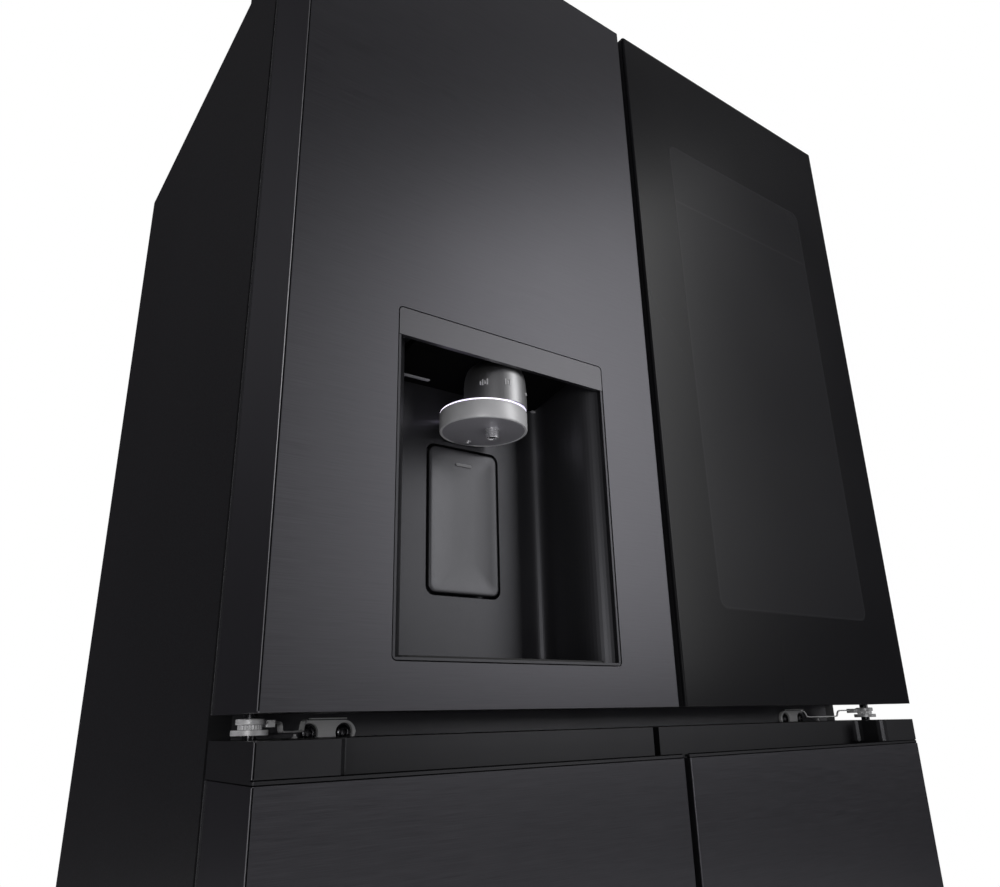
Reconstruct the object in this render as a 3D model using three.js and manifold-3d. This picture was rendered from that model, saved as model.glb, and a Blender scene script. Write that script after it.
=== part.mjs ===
// French door refrigerator with four doors, a dispenser in the upper left door and a
// glass outer door on the upper right door. Millimetres, +Z up, front towards -Y,
// origin on the floor under the middle of the body.
import * as THREE from 'three';
import { mergeVertices } from 'three/addons/utils/BufferGeometryUtils.js';
import Module from 'manifold-3d';

const wasm = await Module();
wasm.setup();

// ---- driving dimensions ----
const WIDTH = 912;
const DEPTH = 738;
const HEIGHT = 1793;
const GAP = 0.3;              // clearance between pieces that touch
const SHEET = 1.5;            // steel sheet
const HALF = WIDTH / 2;
const FRONT = -DEPTH / 2;     // front face of the doors
const BACK = DEPTH / 2;

const CABINET_DEPTH = 118;    // from the doors' front face to the cabinet's front
const CABINET_TOP = 1763;
const CABINET_BASE = 62;
const PANEL_BASE = 30;

const DOOR_THICK = 112;
const SKIN_DEPTH = 104;       // how far the steel skin wraps back
const CORNER = 2;             // rounded front edges of the doors
const UPPER_DOOR = { inner: 5, low: 871, high: 1784 };
const LOWER_DOOR = { inner: 4.5, low: 65, high: 851, skinHigh: 820.6 };

const PIVOT_X = 440;          // main door pivots, from the middle
const PIVOT_DEPTH = 60;
const PIN_R = 5.5;
const PIN_HOLE_R = 7;

const FRESH = { low: 897, high: 1709, half: 404, back: 300 };
const TUB = { low: 118, high: 822, inner: 32, outer: 404, back: 300, stepZ: 290, stepY: 105 };
const LINER = 2.5;

const DISPENSER = { left: -346.5, right: -84, low: 910, high: 1242, depth: 90, ceiling: 1228 };
const DISPENSER_X = (DISPENSER.left + DISPENSER.right) / 2;
const FASCIA = { height: 30, thick: 5 };
const GROOVE = 1.2;           // shadow gap round the dispenser
const NOZZLE = { depth: 50, discR: 47, discLow: 1152, discHigh: 1172 };
const COLUMN = { dx: 8, depth: 38.5, r: 34, low: 1173.8 };
const SPOUT = { dx: 3, depth: 38.5, r: 6.9, drop: 10 };
const LEVER = { width: 87, low: 985.5, high: 1142, depth: 88.5, thick: 4 };
const POCKET = { end: 380, kink: 397, lip: 8, back: 42, floor: 790, lipLow: 821.6, lipTop: 824 };
const SHADOW_LINE = { high: 825, depth: 4.8 };   // groove over the lip, across the handle cap
const WINDOW = { left: 80.5, right: 380.5, low: 979, high: 1631 };
const MULLION = { x: -23, depth: 128, thick: 14, length: 50, low: 905, high: 1700 };

// ---- small helpers ----
const y = (depth) => FRONT + depth;

// The same surface with its shared corners merged, so that it is closed.
function merge(geometry) {
  const bare = geometry.clone();
  bare.deleteAttribute('normal');
  bare.deleteAttribute('uv');
  return mergeVertices(bare, 1e-4);
}

function solidOf(geometry) {
  const merged = merge(geometry);
  return new wasm.Manifold(new wasm.Mesh({
    numProp: 3,
    vertProperties: new Float32Array(merged.attributes.position.array),
    triVerts: new Uint32Array(merged.index.array),
  }));
}

function geometryOf(solid) {
  const mesh = solid.getMesh();
  const geometry = new THREE.BufferGeometry();
  geometry.setAttribute('position', new THREE.BufferAttribute(new Float32Array(mesh.vertProperties), 3));
  geometry.setIndex(new THREE.BufferAttribute(new Uint32Array(mesh.triVerts), 1));
  return geometry;
}

function cut(base, ...tools) {
  return geometryOf(tools.reduce((solid, tool) => solid.subtract(solidOf(tool)), solidOf(base)));
}

function join(base, ...others) {
  return geometryOf(others.reduce((solid, other) => solid.add(solidOf(other)), solidOf(base)));
}

function box(x0, x1, y0, y1, z0, z1) {
  const geometry = new THREE.BoxGeometry(Math.abs(x1 - x0), Math.abs(y1 - y0), Math.abs(z1 - z0));
  return geometry.translate((x0 + x1) / 2, (y0 + y1) / 2, (z0 + z1) / 2);
}

// A box given by its depths behind the doors' front face.
function block(x0, x1, depth0, depth1, z0, z1) {
  return box(x0, x1, y(depth0), y(depth1), z0, z1);
}

function outline(points) {
  return new THREE.Shape(points.map(([a, b]) => new THREE.Vector2(a, b)));
}

// A rectangle with one radius for each corner, in the order
// low-low, high-low, high-high, low-high.
function rounded(a0, a1, b0, b1, radii) {
  const [r0, r1, r2, r3] = radii;
  const shape = new THREE.Shape();
  shape.moveTo(a0 + r0, b0);
  shape.lineTo(a1 - r1, b0);
  if (r1) shape.absarc(a1 - r1, b0 + r1, r1, -Math.PI / 2, 0);
  shape.lineTo(a1, b1 - r2);
  if (r2) shape.absarc(a1 - r2, b1 - r2, r2, 0, Math.PI / 2);
  shape.lineTo(a0 + r3, b1);
  if (r3) shape.absarc(a0 + r3, b1 - r3, r3, Math.PI / 2, Math.PI);
  shape.lineTo(a0, b0 + r0);
  if (r0) shape.absarc(a0 + r0, b0 + r0, r0, Math.PI, Math.PI * 1.5);
  return shape;
}

// A plan outline (x, y) raised from z0 to z1.
function raise(shape, z0, z1, steps = 4) {
  const geometry = new THREE.ExtrudeGeometry(shape, { depth: z1 - z0, bevelEnabled: false, curveSegments: steps });
  return geometry.translate(0, 0, z0);
}

// A front outline (x, z) pushed back from depth0 to depth1.
function push(shape, depth0, depth1, steps = 4) {
  const geometry = new THREE.ExtrudeGeometry(shape, {
    depth: depth1 - depth0, bevelEnabled: false, curveSegments: steps,
  });
  return geometry.rotateX(Math.PI / 2).translate(0, y(depth1), 0);
}

// A side outline (y, z) drawn across from x0 to x1.
function across(shape, x0, x1) {
  const geometry = new THREE.ExtrudeGeometry(shape, { depth: x1 - x0, bevelEnabled: false, curveSegments: 4 });
  return geometry.rotateY(Math.PI / 2).rotateX(Math.PI / 2).translate(x0, 0, 0);
}

// An upright cylinder.
function post(r, x, depth, z0, z1, segments = 24) {
  const geometry = new THREE.CylinderGeometry(r, r, z1 - z0, segments);
  return geometry.rotateX(Math.PI / 2).translate(x, y(depth), (z0 + z1) / 2);
}

// A cylinder along X.
function rod(r, x0, x1, yPos, z, segments = 24) {
  const geometry = new THREE.CylinderGeometry(r, r, x1 - x0, segments);
  return geometry.rotateZ(Math.PI / 2).translate((x0 + x1) / 2, yPos, z);
}

// A turned piece about an upright axis, from points (radius, height).
function turned(points, x, yPos, segments = 32) {
  const profile = points.map(([r, h]) => new THREE.Vector2(r, h));
  return new THREE.LatheGeometry(profile, segments).rotateX(Math.PI / 2).translate(x, yPos, 0);
}

// The mirror image in the plane x = 0, with its faces still pointing out.
function mirrored(geometry) {
  const copy = merge(geometry);
  copy.scale(-1, 1, 1);
  const corners = copy.index.array;
  for (let i = 0; i < corners.length; i += 3) {
    [corners[i], corners[i + 1]] = [corners[i + 1], corners[i]];
  }
  return copy;
}

const fridge = new THREE.Group();

const FINISH = {
  darkSteel: { color: 0x3a3b3f, roughness: 0.32, metalness: 0.9 },
  paint: { color: 0x232427, roughness: 0.5, metalness: 0.3 },
  zinc: { color: 0xa9abab, roughness: 0.35, metalness: 0.9 },
  liner: { color: 0xd9dcdd, roughness: 0.45, metalness: 0 },
  foam: { color: 0xd8c99a, roughness: 0.9, metalness: 0 },
  seal: { color: 0x6f7275, roughness: 0.8, metalness: 0 },
  blackPlastic: { color: 0x17181a, roughness: 0.45, metalness: 0 },
  blackGlass: { color: 0x0c0d10, roughness: 0.08, metalness: 0 },
  clear: { color: 0xcfe0e2, roughness: 0.1, metalness: 0 },
  silver: { color: 0xc7c9cb, roughness: 0.3, metalness: 0.9 },
  chrome: { color: 0xe2e3e5, roughness: 0.08, metalness: 1 },
  light: { color: 0xf3edff, roughness: 0.3, metalness: 0 },
  castIron: { color: 0x1d1e1f, roughness: 0.6, metalness: 0.4 },
  rubber: { color: 0x1a1a1a, roughness: 0.85, metalness: 0 },
  galvanised: { color: 0x8f9394, roughness: 0.5, metalness: 0.8 },
};

function add(name, geometry, finish) {
  const mesh = new THREE.Mesh(geometry, new THREE.MeshStandardMaterial(FINISH[finish]));
  mesh.name = name;
  fridge.add(mesh);
}

const SIDES = [['left', -1], ['right', 1]];

// Makes a piece for the left side and its mirror image for the right side.
function addPair(nameOf, geometry, finish) {
  for (const [side, sign] of SIDES) {
    add(nameOf(side), sign < 0 ? geometry : mirrored(geometry), finish);
  }
}

// ---- cabinet shell ----
const FLANGE = 20;

function sidePanel() {
  const plan = outline([
    [-HALF, y(CABINET_DEPTH)], [-HALF + FLANGE, y(CABINET_DEPTH)],
    [-HALF + FLANGE, y(CABINET_DEPTH) + SHEET], [-HALF + SHEET, y(CABINET_DEPTH) + SHEET],
    [-HALF + SHEET, BACK], [-HALF, BACK],
  ]);
  const panel = raise(plan, PANEL_BASE, CABINET_TOP);
  const notch = block(-HALF + SHEET, -HALF + FLANGE + 1, CABINET_DEPTH - 1, CABINET_DEPTH + 5,
    PANEL_BASE - 1, CABINET_BASE);
  return cut(panel, notch);
}

function topPanel() {
  const inner = HALF - SHEET - GAP;
  const front = y(CABINET_DEPTH);
  const side = outline([
    [front, CABINET_TOP - FLANGE], [front + SHEET, CABINET_TOP - FLANGE],
    [front + SHEET, CABINET_TOP - SHEET], [BACK, CABINET_TOP - SHEET],
    [BACK, CABINET_TOP], [front, CABINET_TOP],
  ]);
  const panel = across(side, -inner, inner);
  const corner = FLANGE + GAP;
  return cut(
    panel,
    box(-HALF, -HALF + corner, front - 1, front + SHEET + 0.1, CABINET_TOP - FLANGE - 1, CABINET_TOP - 3),
    box(HALF - corner, HALF, front - 1, front + SHEET + 0.1, CABINET_TOP - FLANGE - 1, CABINET_TOP - 3),
    box(-HALF, -HALF + corner, front - 1, front + SHEET + GAP, CABINET_TOP - 4, CABINET_TOP + 1),
    box(HALF - corner, HALF, front - 1, front + SHEET + GAP, CABINET_TOP - 4, CABINET_TOP + 1),
  );
}

const NICHE = { front: 150, high: 260 };
const SHELL_X = HALF - SHEET - GAP;

function backPanel() {
  return box(-SHELL_X + GAP, SHELL_X - GAP, BACK - SHEET, BACK, NICHE.high + 2, CABINET_TOP - SHEET - GAP);
}

// The outer shape of the freezer tub on the left, which has a step over the machine room.
function tubShape(grow, frontY) {
  const { low, high, inner, outer, back, stepZ, stepY } = TUB;
  const side = outline([
    [frontY, low - grow], [stepY + grow, low - grow], [stepY + grow, stepZ - grow],
    [back + grow, stepZ - grow], [back + grow, high + grow], [frontY, high + grow],
  ]);
  return across(side, -outer - grow, -inner + grow);
}

function freshShape(grow, frontY) {
  return box(-FRESH.half - grow, FRESH.half + grow, frontY, FRESH.back + grow, FRESH.low - grow, FRESH.high + grow);
}

const FOAM_FRONT = y(CABINET_DEPTH) + LINER + GAP;
const BAR = { low: 826, high: 893, back: 22 };

function insulation() {
  const grow = LINER + GAP;
  const open = y(CABINET_DEPTH) - 5;
  const foam = box(-SHELL_X, SHELL_X, FOAM_FRONT, BACK - SHEET - GAP, CABINET_BASE + GAP, CABINET_TOP - SHEET - GAP);
  return cut(
    foam,
    freshShape(grow, open),
    tubShape(grow, open),
    mirrored(tubShape(grow, open)),
    box(-HALF, HALF, NICHE.front, BACK + 1, CABINET_BASE - 1, NICHE.high),
    box(-HALF + FLANGE, HALF - FLANGE, open, y(CABINET_DEPTH) + BAR.back + GAP, BAR.low - GAP, BAR.high + GAP),
  );
}

const RIB = { front: -80, back: 280, high: 10, wide: 6 };
const SHELF_Z = { upper: 1440, lower: 1160 };

function freshLiner() {
  const front = y(CABINET_DEPTH);
  const reach = HALF - FLANGE - GAP;
  const flange = box(-reach, reach, front, front + LINER, BAR.high + GAP, CABINET_TOP - FLANGE - GAP);
  const shell = join(freshShape(LINER, front), flange);
  const open = cut(shell, freshShape(0, front - 5));
  const ribs = [];
  for (const z of Object.values(SHELF_Z)) {
    for (const [, sign] of SIDES) {
      const wall = sign * (FRESH.half + 1);
      ribs.push(box(wall, sign * (FRESH.half - RIB.wide), RIB.front, RIB.back, z - RIB.high - GAP, z - GAP));
    }
  }
  return join(open, ...ribs);
}

function freezerLiner() {
  const front = y(CABINET_DEPTH);
  const reach = HALF - FLANGE - GAP;
  const flange = box(-reach, reach, front, front + LINER, CABINET_BASE + 2, BAR.low - GAP);
  const left = tubShape(LINER, front);
  const shell = join(flange, left, mirrored(left));
  const hollow = tubShape(0, front - 5);
  return cut(shell, hollow, mirrored(hollow));
}

function crossBar() {
  const reach = HALF - FLANGE - GAP;
  return block(-reach, reach, CABINET_DEPTH, CABINET_DEPTH + BAR.back, BAR.low, BAR.high);
}

addPair((side) => `${side}_side_panel`, sidePanel(), 'paint');
add('top_panel', topPanel(), 'paint');
add('back_panel', backPanel(), 'galvanised');
add('insulation_foam', insulation(), 'foam');
add('fresh_food_liner', freshLiner(), 'liner');
add('freezer_liner', freezerLiner(), 'liner');
add('centre_crossbar', crossBar(), 'paint');

// ---- base and machine room ----
const RAIL = { inner: 400, outer: 450, low: 36, front: -236 };
const ROLLER = { x: 381, y: 300, r: 20, width: 24, axleR: 4.5 };
const FOOT = { x: 425, y: -205, r: 22, stemR: 6 };

function baseFrame() {
  const top = CABINET_BASE;
  const parts = [];
  for (const [, sign] of SIDES) {
    parts.push(box(sign * RAIL.inner, sign * RAIL.outer, RAIL.front, BACK - 20, RAIL.low, top));
    const axle = ROLLER.x - ROLLER.width / 2 - 1;
    const ears = [[axle - 6, axle], [ROLLER.x + ROLLER.width / 2 + 1, RAIL.inner + 4]];
    for (const [x0, x1] of ears) {
      parts.push(box(sign * x0, sign * x1, ROLLER.y - 16, ROLLER.y + 16, 10, top));
    }
    const [from, to] = [sign * (axle - 3), sign * (RAIL.inner + 2)].sort((a, b) => a - b);
    parts.push(rod(ROLLER.axleR, from, to, ROLLER.y, ROLLER.r));
  }
  parts.push(box(-RAIL.inner - 1, RAIL.inner + 1, RAIL.front, RAIL.front + 45, RAIL.low, top));
  parts.push(box(-350, 350, NICHE.front + 4, BACK - 24, top - 6, top));
  parts.push(box(-RAIL.inner - 1, RAIL.inner + 1, NICHE.front + 4, NICHE.front + 34, top - 10, top));
  parts.push(box(44, 58, FAN.y - 12, FAN.y + 12, top - 1, FAN.z + 12));
  const [first, ...others] = parts;
  const frame = join(first, ...others);
  const holes = SIDES.map(([, sign]) => post(FOOT.stemR + 1, sign * FOOT.x, FOOT.y - FRONT, RAIL.low - 1, top + 1));
  return cut(frame, ...holes);
}

const FAN = { x: 20, y: 256, z: 150, r: 62, hubR: 20, blades: 5, length: 16 };

function fanRotor() {
  const hub = rod(FAN.hubR, FAN.x - FAN.length, FAN.x + FAN.length, FAN.y, FAN.z);
  const blades = [];
  for (let i = 0; i < FAN.blades; i += 1) {
    const blade = new THREE.BoxGeometry(2.5, 40, FAN.r - FAN.hubR + 6);
    blade.rotateZ(0.5).translate(0, 0, (FAN.r + FAN.hubR - 6) / 2);
    blade.rotateX((i / FAN.blades) * Math.PI * 2).translate(FAN.x, FAN.y, FAN.z);
    blades.push(blade);
  }
  return join(hub, ...blades);
}

function roller() {
  const half = ROLLER.width / 2;
  const bore = ROLLER.axleR + 0.5;
  const profile = [
    [bore, -half], [ROLLER.r - 2, -half], [ROLLER.r, -half + 2],
    [ROLLER.r, half - 2], [ROLLER.r - 2, half], [bore, half], [bore, -half],
  ].map(([r, h]) => new THREE.Vector2(r, h));
  const wheel = new THREE.LatheGeometry(profile, 32);
  return wheel.rotateZ(Math.PI / 2).translate(-ROLLER.x, ROLLER.y, ROLLER.r);
}

function levellingFoot() {
  const top = CABINET_BASE - 4;
  return turned([[0, 0], [FOOT.r, 0], [FOOT.r, 7], [9, 10], [9, 20], [FOOT.stemR, 20], [FOOT.stemR, top], [0, top]],
    -FOOT.x, FOOT.y, 24);
}

function toeGrille() {
  const plate = block(-396, 396, 96, 112, 14, 60);
  const slots = [];
  for (let i = 0; i < 4; i += 1) {
    const z = 22 + i * 9;
    slots.push(block(-370, -20, 90, 120, z, z + 4), block(20, 370, 90, 120, z, z + 4));
  }
  return cut(plate, ...slots);
}

function compressor() {
  const r = 78;
  const low = CABINET_BASE + 6;
  const mid = low + 95;
  const shell = turned([[0, low], [r * 0.7, low], [r * 0.92, low + 12], [r, low + 35], [r, mid],
    [r * 0.93, mid + 25], [r * 0.7, mid + 45], [r * 0.35, mid + 55], [0, mid + 57]], -240, 256, 28);
  const feet = box(-340, -140, 206, 306, CABINET_BASE + GAP, CABINET_BASE + 8);
  return join(shell, feet);
}

function condenser() {
  const [x0, x1, z0, z1] = [90, 330, CABINET_BASE + GAP, 226];
  const core = box(x0, x1, 215, 297, z0 + 30, z0 + 42);
  const upper = box(x0, x1, 215, 297, z1 - 60, z1 - 48);
  const fins = [];
  for (let i = 0; i < 13; i += 1) {
    const x = x0 + 4 + (i * (x1 - x0 - 12)) / 12;
    fins.push(box(x, x + 4, 200, 312, z0, z1));
  }
  return join(core, upper, ...fins);
}

const COVER_Y = { front: 350, back: 353 };

function machineCover() {
  const plate = box(-440, 440, COVER_Y.front, COVER_Y.back, CABINET_BASE + 4, NICHE.high - 2);
  const slots = [];
  for (let row = 0; row < 8; row += 1) {
    for (const x of [-300, -60, 180]) {
      slots.push(box(x, x + 150, COVER_Y.front - 1, COVER_Y.back + 1, 90 + row * 19, 97 + row * 19));
    }
  }
  return cut(plate, ...slots, inletHole());
}

const INLET = { x: 400, z: 120, r: 9 };

function inletHole() {
  const hole = new THREE.CylinderGeometry(INLET.r + 0.5, INLET.r + 0.5, 20, 24);
  return hole.translate(INLET.x, COVER_Y.front, INLET.z);
}

function powerInlet() {
  const [front, back] = [COVER_Y.front, COVER_Y.back];
  const profile = [[0, front - 12], [INLET.r, front - 12], [INLET.r, back + GAP], [13, back + GAP], [13, back + 4],
    [8, back + 5], [6, back + 12], [3.5, back + 12], [3.5, front - 6], [0, front - 6]];
  const gland = new THREE.LatheGeometry(profile.map(([r, h]) => new THREE.Vector2(r, h)), 24);
  return gland.translate(INLET.x, 0, INLET.z);
}

add('base_frame', baseFrame(), 'galvanised');
addPair((side) => `rear_roller_${side}`, roller(), 'blackPlastic');
addPair((side) => `levelling_foot_${side}`, levellingFoot(), 'rubber');
add('toe_grille', toeGrille(), 'blackPlastic');
add('compressor', compressor(), 'castIron');
add('condenser', condenser(), 'castIron');
add('condenser_fan', fanRotor(), 'blackPlastic');
add('machine_room_cover', machineCover(), 'galvanised');
add('power_inlet', powerInlet(), 'blackPlastic');

// ---- hinges, made for the left side and mirrored ----
const HINGE = { outer: -452, inner: -378, tongue: -425, thick: 3 };

function topHinge() {
  const low = CABINET_TOP + GAP;
  const over = UPPER_DOOR.high + 1;
  const riser = y(CABINET_DEPTH) + 3;
  const plate = box(HINGE.outer, HINGE.inner, riser, -150, low, low + HINGE.thick);
  const wall = box(HINGE.outer, HINGE.tongue, riser, riser + HINGE.thick, low, over + HINGE.thick);
  const tongue = block(HINGE.outer, HINGE.tongue, 44, CABINET_DEPTH + 6, over, over + HINGE.thick);
  const pin = post(PIN_R, -PIVOT_X, PIVOT_DEPTH, over - 18, over + 1);
  return join(plate, wall, tongue, pin);
}

function topHingeCover() {
  const [x0, x1] = [HINGE.outer - 3, HINGE.inner + 6];
  const split = y(CABINET_DEPTH) + 7;
  const lid = UPPER_DOOR.high + 1 + HINGE.thick + GAP;
  const outer = join(
    box(x0, x1, split, -140, CABINET_TOP + GAP, HEIGHT),
    block(x0, HINGE.tongue + 4, 38, CABINET_DEPTH + 8, lid, HEIGHT),
  );
  const wall = 2.5;
  return cut(outer, box(x0 + wall, x1 - wall, split - 1, -140 - wall, CABINET_TOP, HEIGHT - wall));
}

function midHinge() {
  const gapTop = UPPER_DOOR.low;
  const face = CABINET_DEPTH - GAP;
  const armLow = 858.5;
  const plate = push(rounded(-372, -321, 852, 866, [0, 6, 6, 0]), face - 3, face);
  const shelf = block(HINGE.outer, -330, 100, face, armLow, armLow + HINGE.thick);
  const tongue = block(HINGE.outer, HINGE.tongue, 46, 101, armLow, armLow + HINGE.thick);
  const pin = post(PIN_R, -PIVOT_X, PIVOT_DEPTH, 834, gapTop + 14);
  const upperNut = post(11, -PIVOT_X, PIVOT_DEPTH, armLow + 2, armLow + 8, 6);
  const lowerNut = post(15, -PIVOT_X, PIVOT_DEPTH, armLow - 5.5, armLow + 1, 6);
  return join(plate, shelf, tongue, pin, upperNut, lowerNut);
}

function bottomHinge() {
  const rear = CABINET_DEPTH + 8;
  const plate = block(HINGE.outer, -404, 42, rear + 3, 50, 54);
  const leg = block(HINGE.outer, -404, rear, rear + 3, 38, 51);
  const washer = post(10, -PIVOT_X, PIVOT_DEPTH, 53, 63.5);
  const pin = post(PIN_R, -PIVOT_X, PIVOT_DEPTH, 60, 82);
  return join(plate, leg, washer, pin);
}

addPair((side) => `top_hinge_${side}`, topHinge(), 'zinc');
addPair((side) => `top_hinge_cover_${side}`, topHingeCover(), 'blackPlastic');
addPair((side) => `mid_hinge_${side}`, midHinge(), 'zinc');
addPair((side) => `bottom_hinge_${side}`, bottomHinge(), 'zinc');

// ---- inside the compartments ----
const SHELF_X = FRESH.half - 3;

function ductPanel() {
  const slab = push(rounded(-290, 290, 930, 1690, [20, 20, 20, 20]), 654, 668.5);
  const vents = [1020, 1220, 1330, 1520, 1600].map((z) => block(-60, 60, 650, 664, z, z + 14));
  return cut(slab, ...vents);
}

function shelf(z) {
  const depth0 = RIB.front - FRONT;
  return block(-SHELF_X, SHELF_X, depth0, depth0 + 355, z, z + 12);
}

// An open tub with straight walls.
function tub(x0, x1, depth0, depth1, z0, z1, wall) {
  return cut(
    block(x0, x1, depth0, depth1, z0, z1),
    block(x0 + wall, x1 - wall, depth0 + wall, depth1 - wall, z0 + wall, z1 + 1),
  );
}

add('rear_duct_panel', ductPanel(), 'liner');
add('glass_shelf_upper', shelf(SHELF_Z.upper), 'clear');
add('glass_shelf_lower', shelf(SHELF_Z.lower), 'clear');
addPair((side) => `crisper_drawer_${side}`, tub(-398, -4, 290, 645, FRESH.low + GAP, 1140, 3), 'clear');
addPair((side) => `freezer_drawer_${side}`, tub(-398, -38, 160, 645, 560, 780, 3), 'clear');

// ---- upper left door with its dispenser ----
// A steel pan that is open at the back, with rounded upright front edges.
function doorSkin(inner, low, high, openTop) {
  const outerPlan = rounded(-HALF, -inner, y(0), y(SKIN_DEPTH), [CORNER, CORNER, 0, 0]);
  const lid = openTop ? -5 : SHEET;
  const hollow = rounded(-HALF + SHEET, -inner - SHEET, y(SHEET), y(SKIN_DEPTH) + 5,
    [CORNER - SHEET, CORNER - SHEET, 0, 0]);
  return cut(raise(outerPlan, low, high), raise(hollow, low + SHEET, high - lid));
}

// The foam filled inner door: it fills the skin, closes its back and has a raised plug.
function innerDoor(inner, low, high, rearLow, rearHigh, plug) {
  const edge = SHEET + GAP;
  const fill = block(-HALF + edge + 1, -inner - edge - 1, edge + 1, SKIN_DEPTH + 1, low + edge, high - edge);
  const rear = block(-HALF, -inner, SKIN_DEPTH + GAP, DOOR_THICK, rearLow, rearHigh);
  const raised = block(plug.x0, plug.x1, DOOR_THICK - 1, DOOR_THICK + 16, plug.low, plug.high);
  return join(fill, rear, raised);
}

// A frame that closes on itself, like a picture frame.
function ring(x0, x1, depth0, depth1, z0, z1, width) {
  return cut(
    block(x0, x1, depth0, depth1, z0, z1),
    block(x0 + width, x1 - width, depth0 - 1, depth1 + 1, z0 + width, z1 - width),
  );
}

const SEAL = { depth0: DOOR_THICK + GAP, depth1: 116.4, outer: -446, inner: -12, width: 14 };

function hingeHole(z) {
  return post(PIN_HOLE_R, -PIVOT_X, PIVOT_DEPTH, z - 22, z + 22);
}

function dispenserHole(grow, depth1) {
  const { left, right, low, high } = DISPENSER;
  return push(rounded(left - grow, right + grow, low - grow, high + grow, [5, 5, 5, 5]), -5, depth1);
}

function dispenserCavity() {
  const { left, right, low, depth, ceiling } = DISPENSER;
  const lip = 3.5;
  const draft = 24;
  const plan = new THREE.Shape();
  plan.moveTo(left + lip, y(-2));
  plan.lineTo(right - lip, y(-2));
  plan.lineTo(right - lip, y(6));
  plan.quadraticCurveTo(right - lip - draft, y(18), right - lip - draft, y(depth - 20));
  plan.quadraticCurveTo(right - lip - draft, y(depth), right - lip - draft - 20, y(depth));
  plan.lineTo(left + lip + draft + 20, y(depth));
  plan.quadraticCurveTo(left + lip + draft, y(depth), left + lip + draft, y(depth - 20));
  plan.quadraticCurveTo(left + lip + draft, y(18), left + lip, y(6));
  return raise(plan, low + lip, ceiling, 16);
}

function dispenserHousing() {
  const { left, right, low, high } = DISPENSER;
  const shape = rounded(left + GROOVE, right - GROOVE, low + GROOVE, high - GROOVE, [4, 4, 4, 4]);
  const body = push(shape, 0.6, 110.2);
  const pocket = push(
    rounded(DISPENSER_X - LEVER.width / 2 - 3, DISPENSER_X + LEVER.width / 2 + 3,
      LEVER.low - 3, LEVER.high + 3, [10, 10, 10, 10]),
    DISPENSER.depth - 4, 108);
  const fasciaSeat = block(left - 1, right + 1, -1, FASCIA.thick + GAP, high - FASCIA.height - GAP, high + 1);
  const crescent = post(NOZZLE.discR + 1.5, DISPENSER_X, NOZZLE.depth, NOZZLE.discLow - 3, NOZZLE.discHigh + 3, 40);
  return cut(body, dispenserCavity(), pocket, fasciaSeat, crescent);
}

function fascia() {
  const { left, right, high } = DISPENSER;
  const shape = rounded(left + GROOVE, right - GROOVE, high - FASCIA.height, high - GROOVE, [0, 0, 4, 4]);
  return push(shape, 0, FASCIA.thick);
}

function nozzleColumn() {
  const top = DISPENSER.ceiling - GAP;
  const { dx, depth, r, low } = COLUMN;
  const profile = [[0, low], [r, low], [r - 0.3, low + 18], [r - 0.8, low + 30], [r - 1.8, low + 37],
    [r - 3.2, low + 41.5], [r - 5.6, low + 46], [r - 9, low + 50.5], [r - 12, top], [0, top]];
  return turned(profile, DISPENSER_X + dx, y(depth), 48);
}

function lightRing() {
  const { discR, discHigh: low } = NOZZLE;
  const r = discR - 1;
  return turned([[0, low + GAP], [r, low + GAP], [r, COLUMN.low - GAP], [0, COLUMN.low - GAP]],
    DISPENSER_X, y(NOZZLE.depth), 48);
}

function nozzleDisc() {
  const { discR: r, discLow: low, discHigh: high } = NOZZLE;
  return turned([[0, low], [r - 2, low], [r, low + 2], [r, high - 2], [r - 2, high], [0, high]],
    DISPENSER_X, y(NOZZLE.depth), 48);
}

function waterSpout() {
  const { dx, depth, r, drop } = SPOUT;
  const [low, high] = [NOZZLE.discLow - drop, NOZZLE.discLow - GAP];
  return turned([[0, low + 8], [r - 2, low + 8], [r - 2, low], [r, low], [r, high], [0, high]],
    DISPENSER_X + dx, y(depth), 24);
}

function leverPad() {
  const [x0, x1] = [DISPENSER_X - LEVER.width / 2, DISPENSER_X + LEVER.width / 2];
  return push(rounded(x0, x1, LEVER.low, LEVER.high, [8, 8, 8, 8]), LEVER.depth, LEVER.depth + LEVER.thick);
}

function leftInnerDoor() {
  const { inner, low, high } = UPPER_DOOR;
  const body = innerDoor(inner, low, high, low, high, { x0: -398, x1: -34, low: 903, high: 1703 });
  const lugs = [MULLION.high + 1, MULLION.low - 5].map((z) => (
    block(MULLION.x - 13, MULLION.x + 6, SEAL.depth1 + 1, MULLION.depth + 6, z, z + 4)));
  const pins = [MULLION.high - 8, MULLION.low - 4].map((z) => post(2.5, MULLION.x, MULLION.depth, z, z + 12));
  return cut(
    join(body, ...lugs, ...pins),
    dispenserHole(0.5, 110.6),
    hingeHole(high),
    hingeHole(low),
  );
}

function leftDoorSkin() {
  const { inner, low, high } = UPPER_DOOR;
  return cut(doorSkin(inner, low, high, false), dispenserHole(0, 8), hingeHole(high), hingeHole(low));
}

function flipMullion() {
  const half = MULLION.thick / 2;
  const plan = rounded(MULLION.x - half, MULLION.x + half, y(MULLION.depth - half),
    y(MULLION.depth - half + MULLION.length), [3, 3, 3, 3]);
  const holes = [MULLION.high, MULLION.low].map((z) => post(3.5, MULLION.x, MULLION.depth, z - 11, z + 11));
  return cut(raise(plan, MULLION.low, MULLION.high), ...holes);
}

function iceMakerBox() {
  const [front, rear] = [DOOR_THICK + 16 + GAP, 212];
  return push(rounded(-384, -60, 1240, 1690, [12, 12, 12, 12]), front, rear);
}

// A bin that hangs on the inside of a door.
function doorBin(x0, x1, z0, z1, depth1) {
  return tub(x0, x1, DOOR_THICK + 16 + GAP, depth1, z0, z1, 3);
}

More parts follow.
